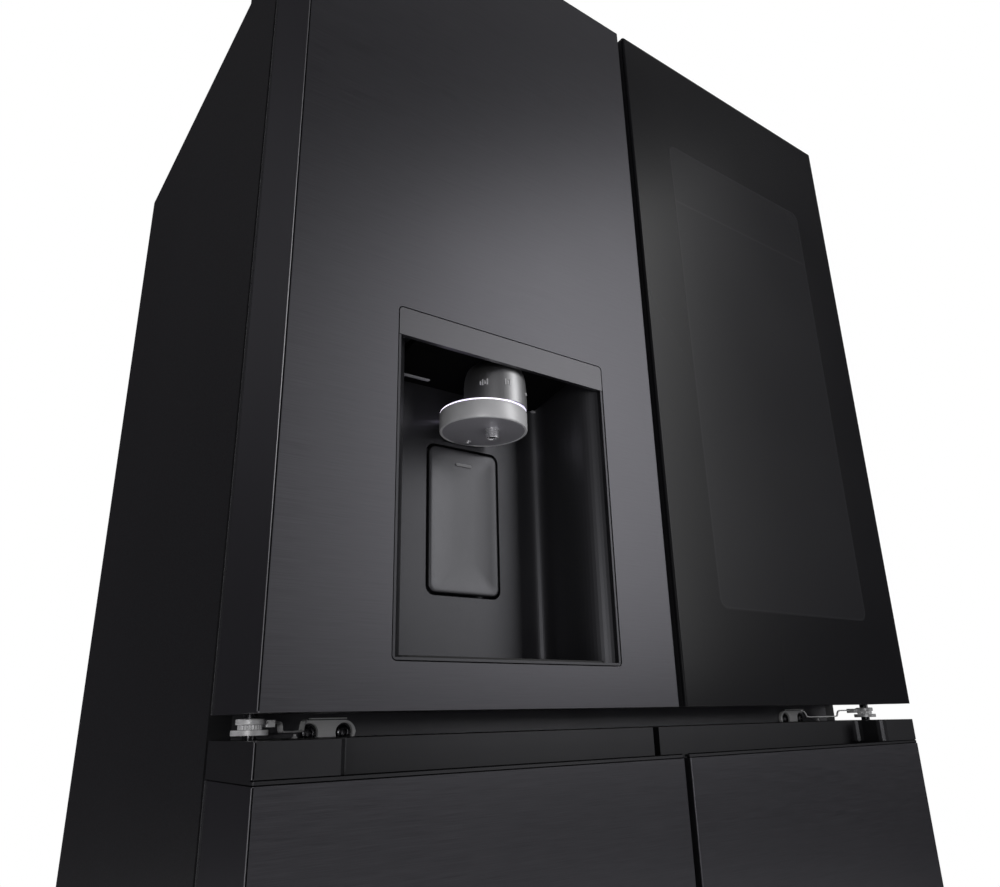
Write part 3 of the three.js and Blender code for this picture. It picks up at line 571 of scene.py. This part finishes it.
def piece(name, made, material, body, replaces=(), bevel=0.0, sharp=SHARP_ANGLE):
    """Turns collected solids into one named piece that rides on a body."""
    bmesh.ops.recalc_face_normals(made.bm, faces=made.bm.faces)
    mesh = bpy.data.meshes.new(name)
    made.bm.to_mesh(mesh)
    made.bm.free()
    mesh.materials.append(MAT[material])
    mesh.shade_smooth()
    mesh.set_sharp_from_angle(angle=math.radians(sharp))
    obj = bpy.data.objects.new(name, mesh)
    SCENE.collection.objects.link(obj)
    if bevel:
        soften(obj, bevel, 3, sharp)
    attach(obj, body)
    if replaces:
        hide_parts(*replaces)


SIDES = (("left", 1), ("right", -1))      # the sign is the one that Mesh mirrors by


def screw_heads(places, r, height):
    """Pan heads with a round socket, standing out from a rear face."""
    made = Mesh()
    profile = [(0, 0), (r, 0), (r, 0.5), (r * 0.93, height * 0.6), (r * 0.72, height),
               (r * 0.36, height), (r * 0.36, height * 0.35), (0, height * 0.35)]
    for place in places:
        made.lathe(profile, place, "d", 18)
    return made


# ---------------------------------------------------------------- dispenser

DISC_X, DISC_DEPTH = -215.25, 50.0
DISC_LOW, DISC_HIGH, DISC_R = 1152.0, 1172.0, 47.0
COLUMN_X, COLUMN_DEPTH, COLUMN_LOW = DISC_X + 8, 38.5, 1173.8
COLUMN_WALL = 33.1      # just inside the column's surface at the height of its marks


def nozzle():
    """The column, the lit ring, the disc, the spout and a small second outlet."""
    disc = (DISC_X, DISC_DEPTH, DISC_LOW)
    spout = (DISC_X + 3, COLUMN_DEPTH, DISC_LOW - 10)
    r, h = DISC_R, DISC_HIGH - DISC_LOW

    def turned(name, profile, centre, segments, material, replaces=(), ring=False):
        made = Mesh().lathe(profile, centre, segments=segments, ring=ring)
        piece(name, made, material, "upper_left_door", replaces)

    profile = [(0, 0), (33.2, 0), (34, 0.8), (33.9, 10), (33.6, 20), (33.2, 30), (32.6, 35), (31.6, 39),
               (30.3, 43), (28.6, 46), (26.4, 49), (23.9, 51.8), (22, 53.7), (0, 53.7)]
    turned("nozzle_column_shell", profile, (COLUMN_X, COLUMN_DEPTH, COLUMN_LOW), 128, "column",
           ["nozzle_column"])
    profile = [(0, 0.5), (r - 2.8, 0.5), (r - 2.4, 0), (r - 0.8, 0), (r - 0.2, 0.5), (r, 1.2), (r, h - 1.3),
               (r - 0.3, h - 0.5), (r - 1, h), (0, h)]
    turned("nozzle_disc_turned", profile, disc, 160, "aluminium", ["nozzle_disc"])
    profile = [(0, 0.1), (r - 3.4, 0.1), (r - 3, 0.6), (0, 0.6)]
    turned("nozzle_disc_underside", profile, disc, 96, "under")
    profile = [(r - 5, 0.05), (r - 0.7, 0.05), (r - 0.5, 0.6), (r - 0.8, 1.2), (r - 5, 1.4)]
    turned("nozzle_light_band", profile, (DISC_X, DISC_DEPTH, DISC_HIGH), 160, "light",
           ["nozzle_light_ring"], ring=True)
    profile = [(4.6, 0.4), (5.2, 0), (6.4, 0), (6.9, 0.6), (6.9, 8.2), (7.6, 8.7), (7.8, 10.6), (4.2, 10.6),
               (4.2, 1.4)]
    turned("water_spout_tip", profile, spout, 64, "chrome", ["water_spout"], ring=True)
    # A black plug in the spout's bore: painted shade in the hollow.
    turned("water_spout_bore_painted_shade", [(0, 2), (4.3, 2), (4.3, 9.6), (0, 9.6)], spout, 32, "roof")
    profile = [(0, 0.9), (1.7, 0.4), (2.5, -0.9), (3.1, -0.7), (3.3, 0.9)]
    turned("second_outlet", profile, (DISC_X + 2.6, 83.3, DISC_LOW), 40, "chrome")


def on_column(angle, z, half_width, half_height):
    """A small raised bar on the column's wall, at an angle in degrees from straight ahead."""
    turn = math.radians(angle)
    out = Vector((math.sin(turn), -math.cos(turn)))
    along = Vector((math.cos(turn), math.sin(turn)))
    centre = Vector((COLUMN_X, COLUMN_DEPTH))

    def put(a, b, t):
        spot = centre + out * t + along * a
        return spot.x, spot.y, b

    return rounded(-half_width, half_width, z - half_height, z + half_height, half_width * 0.6, 3), put


def column_marks():
    """Plain fill marks: two groups of short bars, and one dot at the right."""
    made = Mesh()
    for start, heights in ((-62, (1.5, 2.4, 1.5, 2.4)), (-16, (2.4, 1.5, 2.4))):
        for i, height in enumerate(heights):
            outline, put = on_column(start + i * 4.4, 1193.5 + height * 0.5, 0.6, height * 1.4)
            made.prism(outline, COLUMN_WALL, COLUMN_WALL + 1.02, put)
    outline, put = on_column(42, 1190, 1.3, 1.6)
    made.prism(outline, COLUMN_WALL, COLUMN_WALL + 1.3, put)
    piece("fill_marks", made, "mark", "upper_left_door")


def recess_ceiling():
    """The near-black roof of the recess, black plastic darkened further as painted shade, which is lower at
    the back, and its small lamps.
    """
    side = [(6.2, 1227.8), (6.2, 1224.5), (30, 1221), (89.8, 1209), (89.8, 1227.8)]
    # The roof's near-black is black plastic plus painted shade.
    made = Mesh().prism(side, -314.5, -116, "x")
    piece("recess_roof", made, "roof", "upper_left_door")
    made = Mesh().prism(rounded(-300, -267, 1209.0, 1210.7, 0.7), 75.0, 78.0, "d")
    piece("recess_lamp_strip", made, "lamp", "upper_left_door")
    made = Mesh().prism(rounded(-121.5, -115.5, 1206.2, 1208.9, 1.2), 84.0, 86.0, "d")
    piece("recess_lamp_dot", made, "slot", "upper_left_door")


def lever_pad():
    """The pad behind the nozzle: round corners, a raised rim, a dished face and a slot."""
    face = 88.4
    rows = [(0.4, face + 4, 7.6), (0, face + 3.2, 8), (0, face + 1.2, 8), (0.5, face + 0.3, 7.7),
            (1.6, face, 7), (4, face, 5.6), (9, face + 0.5, 5), (18, face + 1.1, 5), (30, face + 1.5, 5)]
    made = Mesh().layers(DISC_X - 43.5, DISC_X + 43.5, 985.5, 1142, rows, 10)
    piece("dispenser_lever_pad", made, "lever", "dispenser_lever", ["dispenser_lever"],
          sharp=50)
    slot = rounded(DISC_X - 10, DISC_X + 10, 1123.8, 1126.9, 1.4)
    made = Mesh().prism(slot, face - 0.15, face + 1.0, "d")
    piece("lever_slot_mark", made, "slot", "dispenser_lever")


def drip_tray():
    """A slatted grille over the tray in the floor of the recess."""
    floor, slats = 913.5, 19
    x0, x1, d0, d1 = -334, -96, 9, 84
    outline = rounded(x0, x1, d0, d1, 8, 8)
    inner = rounded(x0 + 5, x1 - 5, d0 + 5, d1 - 5, 5, 8)
    rings = []
    for points, rise in ((outline, 0.1), (outline, 2.4), (inner, 2.8), (inner, 0.1)):
        rings.append([(x, back, floor + rise) for x, back in points])
    made = Mesh().skin(rings, loop=True)
    for i in range(slats):
        x = x0 + 11 + i * (x1 - x0 - 22) / (slats - 1)
        made.prism(rounded(x - 2.1, x + 2.1, d0 + 4, d1 - 4, 2, 3), floor + 0.8, floor + 2.3)
    made.block(x0 + 4, x1 - 4, 44, 48, floor + 0.1, floor + 1.6)
    piece("drip_grille", made, "moulding", "upper_left_door", bevel=0.3)


nozzle()
column_marks()
recess_ceiling()
lever_pad()
drip_tray()


# ---------------------------------------------------------------- middle hinges

PIVOT_X, PIVOT_DEPTH = -440, 60


def mid_hinge(side, sign):
    """A pressed bracket from the cross bar to the pivot, with its pin, nuts, washer, rivet and screws."""
    near_hole, far_hole, hole_z, hole_r = -367, -333, 854.7, 8.5
    edge, low, high = -372, 851, 865.6
    reach = math.degrees(math.asin((hole_z - low) / hole_r))
    second = math.degrees(math.acos((edge - near_hole) / hole_r))
    plate = [(edge, high), (far_hole, high)] + arc(far_hole, 853.6, 12, 90, 8, 10)[1:] + [(-322.4, low)]
    plate += arc(far_hole, hole_z, hole_r, -reach, 180 + reach, 20)
    plate += arc(near_hole, hole_z, hole_r, -reach, second, 16)
    made = Mesh(sign).prism(plate, 113.6, 117.6, "d")

    start, end = Vector((-428.0, 62.0)), Vector((-371.0, 115.0))
    along = (end - start).normalized()
    across = Vector((along.y, -along.x))

    def put(a, b, t):
        spot = start + along * a + across * t
        return spot.x, spot.y, b

    span = (end - start).length
    arm = [(0, 863.4), (25, 863.4), (27, 862.6), (28, 860.4), (28.4, 858.2), (29.6, 856.4), (32, 855.8),
           (span - 11, 855.8), (span - 7, 856.4), (span - 5.6, 858.6), (span - 5, 861), (span - 3.6, 863.6),
           (span, 864.8)]
    made.prism(band(arm, 1.6), -2.2, 2.6, put)
    made.prism(rounded(-368, -333, 866.4, 867.5, 0.5, 2), 108, 114.5, "d")
    made.prism(rounded(-426, -418, 62, 74, 1.2, 3), 860.6, 866.2)
    piece(f"mid_hinge_bracket_{side}", made, "zinc", "cabinet", [f"mid_hinge_{side}"],
          bevel=0.35)

    pivot = (PIVOT_X, PIVOT_DEPTH, 0)
    profile = [(0, 834.5), (5, 834.5), (5.5, 835.5), (5.5, 884), (5, 885), (0, 885)]
    made = Mesh(sign).lathe(profile, pivot, segments=40)
    piece(f"mid_hinge_pin_{side}", made, "screw", "cabinet")
    profile = [(5.4, 862.7), (10.9, 862.7), (11.3, 863.2), (11.3, 866.6), (10.8, 867.2), (7.4, 867.4),
               (5.4, 867.4)]
    made = Mesh(sign).lathe(profile, pivot, segments=48, ring=True)
    made.prism(polygon(PIVOT_X, PIVOT_DEPTH, 48, 9.6, notch=0.6), 858.9, 862.6)
    made.prism(polygon(PIVOT_X, PIVOT_DEPTH, 12, 14.6, turn=15), 854.6, 858.8)
    piece(f"mid_hinge_nuts_{side}", made, "zinc", "cabinet", bevel=0.5)

    profile = [(0, -2.6), (1.4, -2.3), (2.3, -1.2), (2.6, 0), (2.3, 1.2), (1.4, 2.0), (1.2, 3.5), (0, 3.5)]
    made = Mesh(sign).lathe(profile, (-386, 100, 850.8), segments=24)
    piece(f"mid_hinge_rivet_{side}", made, "zinc", "cabinet")

    made = Mesh(sign)
    profile = [(0, 117.9), (6.9, 117.9), (7.1, 116.4), (6.4, 114.6), (4.8, 113.6), (3.0, 113.3), (2.8, 115.4),
               (0, 115.6)]
    for x in (near_hole, far_hole):
        made.lathe(profile, (x, 0, hole_z), "d", 40)
    piece(f"mid_hinge_screws_{side}", made, "screw", "cabinet", bevel=0.3)


for side_name, side_sign in SIDES:
    mid_hinge(side_name, side_sign)


# ---------------------------------------------------------------- door seals

def door_seals():
    """Magnetic gaskets with pleated necks, in place of the plain CAD rings."""
    profile = [(0, 112.4), (2, 112.4), (3.5, 113.5), (5.5, 112.7), (7.5, 113.7), (9.5, 112.7), (11, 113.5),
               (12.5, 112.4), (14, 112.4), (14.3, 114.4), (13.4, 116.2), (11.6, 117.3), (9.5, 117.6),
               (7, 117.1), (4.5, 117.6), (2.4, 117.3), (0.6, 116.2), (-0.3, 114.4)]
    rows = (("left_door", "upper_left_door", 1, 880, 1776), ("right_door", "upper_right_door", -1, 880, 1776),
            ("lower_left", "lower_left_door", 1, 74, 838), ("lower_right", "lower_right_door", -1, 74, 838))
    for name, body, sign, low, high in rows:
        made = Mesh(sign).frame(profile, -446, -12, low, high)
        piece(f"{name}_gasket", made, "seal", body, [f"{name}_seal"], sharp=60)
    thin = [(inset * 0.62, 42.1 + (back - 112.4) * 1.79) for inset, back in profile]
    made = Mesh(-1).frame(thin, -440, -8.5, 882, 1773)
    piece("glass_door_gasket", made, "seal", "glass_outer_door", sharp=60)


door_seals()


# ---------------------------------------------------------------- painted shade and highlight lines on the doors

def groove_shade_strips(side, sign):
    """On a lower door, black strips as painted shade in the groove over the steel skin and in the one over
    the grip's lip.
    """
    made = Mesh(sign)
    # Black blocks in the grooves' mouths: painted shade.
    made.block(-455.0, -5.4, 1.3, 4.0, 820.65, 821.55)
    made.block(-455.0, -5.4, 2.4, 4.7, 824.05, 824.95)
    piece(f"lower_{side}_shadow_lines", made, "shadow", f"lower_{side}_door")


for side_name, side_sign in SIDES:
    groove_shade_strips(side_name, side_sign)


def painted_edge_lines():
    """A painted highlight line and a painted dark reflection line along each steel door's rounded outer edge.
    """
    edge_x, outer_r, inner_r = -454, 2.05, 1.9
    rows = (("left_door", "upper_left_door", 1, 872, 1783, 2, "brushed_dark_steel"),
            ("lower_left", "lower_left_door", 1, 66, 820, 2, "brushed_dark_steel"),
            ("lower_right", "lower_right_door", -1, 66, 820, 2, "brushed_dark_steel"),
            ("lower_left_cap", "lower_left_door", 1, 825.3, 850.4, 2.8, "handle_cap_black"),
            ("lower_right_cap", "lower_right_door", -1, 825.3, 850.4, 2.8, "handle_cap_black"))
    for name, body, sign, low, high, back, slot in rows:
        # The edge strip is a painted highlight and the seam strip a painted dark reflection, not a separate
        # part.
        for kind, start, end, material in (("edge", 196, 217, "edge"), ("seam", 228, 256, "shadow")):
            outer = arc(edge_x, back, outer_r, start, end, 6)
            inner = arc(edge_x, back, inner_r, end, start, 6)
            made = Mesh(sign).prism(outer + inner, low, high)
            piece(f"{name}_{kind}_line", made, material, body)


painted_edge_lines()


# ---------------------------------------------------------------- inside the compartments

def sweep_rim(made, x0, x1, d0, d1, radius, profile):
    """A profile of (inset, z) swept round a rounded rectangle seen from above."""
    rings = []
    for inset, z in profile:
        outline = rounded(x0 + inset, x1 - inset, d0 + inset, d1 - inset, max(radius - inset, 0.8), 6)
        rings.append([(x, back, z) for x, back in outline])
    return made.skin(rings, loop=True)


def fresh_shelf(name, z):
    """A glass pane held by a rounded front trim, a raised back trim and two side rails."""
    made = Mesh().prism(rounded(-397, 397, 293, 640, 3, 3), z + 4.2, z + 8.4)
    piece(f"shelf_pane_{name}", made, "glass", "cabinet", [f"glass_shelf_{name}"], bevel=0.5)
    made = Mesh()
    front = [(289.5, 2.5), (291, 0.6), (294, 0), (303, 0), (305, 1.4), (305, 4.1), (294.5, 4.1), (294.5, 8.5),
             (302, 8.5), (302.6, 9.6), (301, 10.8), (294, 11.4), (290.6, 10), (289.5, 7.6)]
    back = [(632, 1), (643.5, 1), (643.8, 11.6), (640.5, 11.6), (640.5, 4.1), (632, 4.1)]
    for trim in (front, back):
        made.prism(moved(trim, 0, z), -400.5, 400.5, "x")
    for side in (-1, 1):
        made.block(*sorted((side * 396.8, side * 400.6)), 305.2, 631.8, z + 1.2, z + 10.2)
        for spot in (330, 470, 610):
            made.block(*sorted((side * 386, side * 399)), spot - 9, spot + 9, z + 1.4, z + 4.1)
    piece(f"shelf_trim_{name}", made, "trim", "cabinet", bevel=0.5)


def drawer_front(name, x0, x1, top, face):
    """A curled grip along the top of a clear drawer, with two stiffening beads below it."""
    grip = [(3.5, 0.2), (-9, 0.2), (-12.6, -1.6), (-14.4, -5.4), (-14.6, -20), (-13.4, -21.4), (-12.0, -20),
            (-11.7, -6.4), (-10.4, -3.8), (-8.2, -2.6), (-0.3, -2.6), (-0.3, -0.4), (3.5, -0.4)]
    bead = [(-0.2, 1.8), (-1.8, 1.2), (-2.4, 0), (-1.8, -1.2), (-0.2, -1.8)]
    made = Mesh().prism(moved(grip, face, top), x0 + 1.2, x1 - 1.2, "x")
    for drop in (46, 54):
        made.prism(moved(bead, face, top - drop), x0 + 10, x1 - 10, "x")
    for edge in (x0 + 1.2, x1 - 4.2):
        made.block(edge, edge + 3, face - 9, face - 0.4, top - 16, top - 2.8)
    piece(name, made, "trim", "cabinet", bevel=0.3)


def inner_fittings():
    """Shelves, drawer grips, vents and lamps."""
    fresh_shelf("upper", 1440)
    fresh_shelf("lower", 1160)
    for side_name, side_sign in SIDES:
        low, high = sorted((side_sign * -398, side_sign * -4))
        drawer_front(f"crisper_grip_{side_name}", low, high, 1140, 290)
        low, high = sorted((side_sign * -398, side_sign * -38))
        drawer_front(f"freezer_grip_{side_name}", low, high, 780, 160)

    made = Mesh()
    bezel = [(0, 654.2), (0, 652.6), (1.4, 651.6), (5, 651.6), (6, 652.6), (6, 654.2)]
    slat = [(652.4, 2.4), (653.4, 1.4), (659.5, 4.6), (658.5, 5.6)]
    for z in (1020, 1220, 1330, 1520, 1600):
        made.frame(bezel, -68, 68, z - 8, z + 22)
        for k in range(2):
            made.prism(moved(slat, 0, z + k * 5.6), -61, 61, "x")
    made.frame([(0, 654.2), (1.2, 652.8), (3.4, 652.8), (4.6, 654.2)], -272, 272, 948, 1672)
    piece("duct_vents", made, "trim", "cabinet")

    made = Mesh()
    for x in (-300, 300):
        made.prism(rounded(x - 6, x + 6, 1300, 1660, 5.5, 5), 648.8, 650.6, "d")
    made.prism(rounded(-120, 120, 190, 216, 8, 6), 1705.6, 1708.4)
    piece("fresh_food_lamps", made, "led", "cabinet", bevel=0.4)

    made = Mesh()
    for x in (-300, 300):
        made.prism(rounded(x - 9, x + 9, 1296, 1664, 8, 6), 650.5, 654.2, "d")
    made.prism(rounded(-128, 128, 184, 222, 10, 6), 1707.2, 1708.9)
    piece("lamp_mounts", made, "trim", "cabinet", bevel=0.4)


def door_fittings():
    """Bin rims with rails below them, and the ice maker's door with its latch."""
    for name, body, x0, x1, d0, d1, z0, z1 in (
        ("left_door", "upper_left_door", -386, -50, 128.3, 232, 925, 1035),
        ("right_door", "upper_right_door", 63, 377, 120, 240, 1000, 1100),
    ):
        made = Mesh()
        profile = [(-0.2, -6), (-0.6, -1), (0.4, 0.6), (2.0, 1.0), (4.0, 0.6), (4.6, -1), (4.2, -4),
                   (3.1, -4), (3.1, -0.4), (-0.02, -0.4), (-0.02, -6)]
        sweep_rim(made, x0, x1, d0 + 0.4, d1, 6, moved(profile, 0, z1))
        rail = [(-0.1, -34), (3.4, -33), (4.4, -30), (4.4, -20), (3.4, -17), (-0.1, -16)]
        made.prism(moved(rail, d1, z1), x0 + 6, x1 - 6, "x")
        rail = [(-0.1, 3), (1.6, 4.4), (1.6, 8.6), (-0.1, 10)]
        made.prism(moved(rail, d1, z0), x0 + 6, x1 - 6, "x")
        piece(f"{name}_bin_rim", made, "trim", body, bevel=0.3)

    steps = [(0, 212.1), (0, 214.6), (1.6, 216.2), (7, 216.2), (8.5, 215.4), (24, 215.4), (25.4, 216.6),
             (27, 216.6), (28.4, 215.4), (60, 215.4)]
    rows = [(inset, back, max(12 - inset * 0.5, 3)) for inset, back in steps]
    made = Mesh().layers(-380, -64, 1246, 1684, rows, 6)
    piece("ice_box_door", made, "liner", "upper_left_door")
    made = Mesh()
    made.prism(rounded(-92, -74, 1432, 1500, 6, 6), 214.8, 219.4, "d")
    made.prism(rounded(-88.5, -77.5, 1437, 1495, 4, 5), 219.3, 221.6, "d")
    hinge = [(0, -13), (3.6, -13), (4.2, -12), (4.2, 12), (3.6, 13), (0, 13)]
    for z in (1290, 1640):
        made.lathe(hinge, (-376.5, 214.5, z), segments=20)
    piece("ice_box_latch", made, "trim", "upper_left_door", bevel=0.6)


def door_beads():
    """Raised beads that stiffen the moulded inside of each door."""
    bead = [(0, 127.9), (0.8, 128.9), (2.0, 129.6), (4.0, 129.6), (5.2, 128.9), (6.0, 127.9)]
    for side_name, side_sign in SIDES:
        made = Mesh(side_sign).frame(bead, -382, -54, 142, 796)
        for x in (-300, -218, -136):
            made.prism(moved(bead, x - 3, 0), 190, 748)
        piece(f"lower_{side_name}_inner_beads", made, "liner", f"lower_{side_name}_door",
              sharp=50)
    made = Mesh().frame(bead, -384, -56, 1060, 1222)
    for z in (1100, 1141, 1182):
        made.prism([(back, z - 3 + across) for across, back in bead], -352, -88, "x")
    piece("left_door_inner_beads", made, "liner", "upper_left_door", sharp=50)


inner_fittings()
door_fittings()
door_beads()


# ---------------------------------------------------------------- back and base

def back_panel():
    """The rear sheet, its screws and the machine room cover's screws and louvres."""
    x0, x1, z0, z1 = -453.9, 453.9, 262.0, 1761.2
    front, low, out = 736.5, 737.1, 738.0
    # From the edge inwards: a flat flange, a raised band, a groove and a raised field.
    rows = [(0, front, 0.5), (0, low, 0.5), (26, low, 10), (30, out, 14), (64, out, 24), (67, low, 24),
            (79, low, 20), (82, out, 18)]
    made = Mesh().layers(x0, x1, z0, z1, rows, 8)
    piece("back_panel_pressed", made, "galvanised", "cabinet", ["back_panel"], sharp=15)

    flange, margin = 737.05, 13
    places = [(x, flange, z) for x in (x0 + margin, x1 - margin) for z in (275, 640, 1010, 1380, 1748)]
    places += [(x, flange, z1 - margin) for x in (-300, -100, 100, 300)]
    made = screw_heads(places, r=4.2, height=0.9)
    piece("back_panel_screws", made, "screw", "cabinet")

    cover = 722.0
    places = [(x, cover + 0.02, z) for x in (-430, -215, 5, 350, 430) for z in (74, 250)]
    made = screw_heads(places, r=4.6, height=2.4)
    piece("machine_cover_screws", made, "screw", "cabinet")

    made = Mesh()
    louvre = [(0, 6.9), (2.6, 5.4), (5.2, 0.8), (4.4, -0.6), (1.8, 3.6), (0, 5.4)]
    for row in range(8):
        for x in (-300, -60, 180):
            made.prism(moved(louvre, cover, 90 + row * 19), x - 1, x + 151, "x")
    piece("machine_cover_louvres", made, "galvanised", "cabinet")


def compressor_fittings():
    """The weld seam, terminal box, pipes and rubber feet of the compressor."""
    x, back = -240, 625
    seam = [(77.6, 149), (79.6, 149.6), (80.4, 151.2), (79.8, 153), (77.6, 153.8)]
    made = Mesh().lathe(seam, (x, back, 0), segments=64, ring=True)
    made.prism(rounded(-176, -150, 592, 640, 5, 5), 112, 156)
    made.tube([(-205, 600, 195), (-200, 594, 222), (-178, 588, 232), (-80, 588, 232), (-20, 592, 226),
               (-12, 596, 200)], 3.2, 10)
    made.tube([(-262, 655, 200), (-268, 662, 226), (-300, 668, 238), (-350, 668, 238), (-362, 664, 228)],
              4.0, 10)
    made.tube([(-300, 600, 150), (-330, 596, 152), (-346, 596, 168), (-350, 598, 214)], 3.0, 10)
    piece("compressor_pipes", made, "enamel", "cabinet")
    made = Mesh()
    foot = [(0, 70.4), (9, 70.4), (10, 72), (8, 75), (10, 78), (8, 81), (5, 83), (0, 83)]
    for dx in (-88, 88):
        for dy in (-38, 38):
            made.lathe(foot, (x + dx, back + dy, 0), segments=28)
    piece("compressor_mounts", made, "rubber", "cabinet")


def foot_details():
    """Threads and a lock nut on each levelling foot."""
    x, back, root, crest, pitch = -425, 164, 6.1, 7.2, 2.2
    profile = [(0, 26)]
    for k in range(9):
        profile += [(root, 27 + k * pitch), (crest, 27 + (k + 0.5) * pitch)]
    profile += [(root, 47.5), (0, 47.5)]
    for side_name, side_sign in SIDES:
        made = Mesh(side_sign).lathe(profile, (x, back, 0), segments=28)
        made.prism(polygon(x, back, 6, 10.6), 20.5, 27.5)
        piece(f"levelling_nut_{side_name}", made, "screw", "cabinet", bevel=0.4)


back_panel()
compressor_fittings()
foot_details()


# ---------------------------------------------------------------- studio

def add_floor():
    made = Shader("pale_floor")
    cloud = made.noise((1.5, 1.5, 1.5), 2)
    made.base(made.colours(cloud, [(0.3, (0.80, 0.80, 0.80)), (0.7, (0.84, 0.84, 0.84))]))
    made.set(roughness=0.85, emission_color=(0.97, 0.96, 1.0, 1.0), emission_strength=0.17)
    bpy.ops.mesh.primitive_plane_add(size=6, location=(0, 0, 0))
    floor = bpy.context.object
    floor.name = "floor"
    floor.data.materials.append(made.material)


def add_world():
    """White behind the object; a dim grey room in its reflections and fill light."""
    world = bpy.data.worlds.new("studio")
    SCENE.world = world
    world.use_nodes = True
    tree = world.node_tree
    tree.nodes.clear()
    out = tree.nodes.new("ShaderNodeOutputWorld")
    mix = tree.nodes.new("ShaderNodeMixShader")
    path = tree.nodes.new("ShaderNodeLightPath")
    room = tree.nodes.new("ShaderNodeBackground")
    room.inputs["Color"].default_value = (0.90, 0.86, 1.0, 1)
    room.inputs["Strength"].default_value = 0.036
    white = tree.nodes.new("ShaderNodeBackground")
    white.inputs["Color"].default_value = (1, 1, 1, 1)
    white.inputs["Strength"].default_value = 1.0
    tree.links.new(path.outputs["Is Camera Ray"], mix.inputs["Fac"])
    tree.links.new(room.outputs[0], mix.inputs[1])
    tree.links.new(white.outputs[0], mix.inputs[2])
    tree.links.new(mix.outputs[0], out.inputs["Surface"])


def add_softbox(name, place, target, size, power):
    data = bpy.data.lights.new(name, "AREA")
    data.shape = "RECTANGLE"
    data.size, data.size_y = size
    data.energy = power
    light = bpy.data.objects.new(name, data)
    light.location = place
    light.rotation_euler = (Vector(target) - Vector(place)).to_track_quat("-Z", "Y").to_euler()
    SCENE.collection.objects.link(light)


add_floor()
add_world()
add_softbox("key_front_right", (2.45, -3.45, 2.55), (0.0, -0.37, 1.25), (1.5, 3.1), 45)
add_softbox("fill_front_left", (-2.6, -3.0, 2.4), (0, 0, 1.2), (2.0, 2.0), 2.5)
add_softbox("strip_front_left", (-2.1, -2.9, 0.88), (-0.40, -0.26, 0.86), (0.5, 0.7), 12)
add_softbox("top", (0.2, -0.6, 4.2), (0, 0, 0.9), (3.0, 3.0), 8)
add_softbox("back_right", (2.8, 2.6, 2.6), (0, 0, 0.9), (2.2, 2.2), 40)
add_softbox("back_left", (-4.0, 1.0, 3.0), (0, 0, 1.2), (1.8, 1.8), 18)

SCENE.view_settings.view_transform = "Standard"
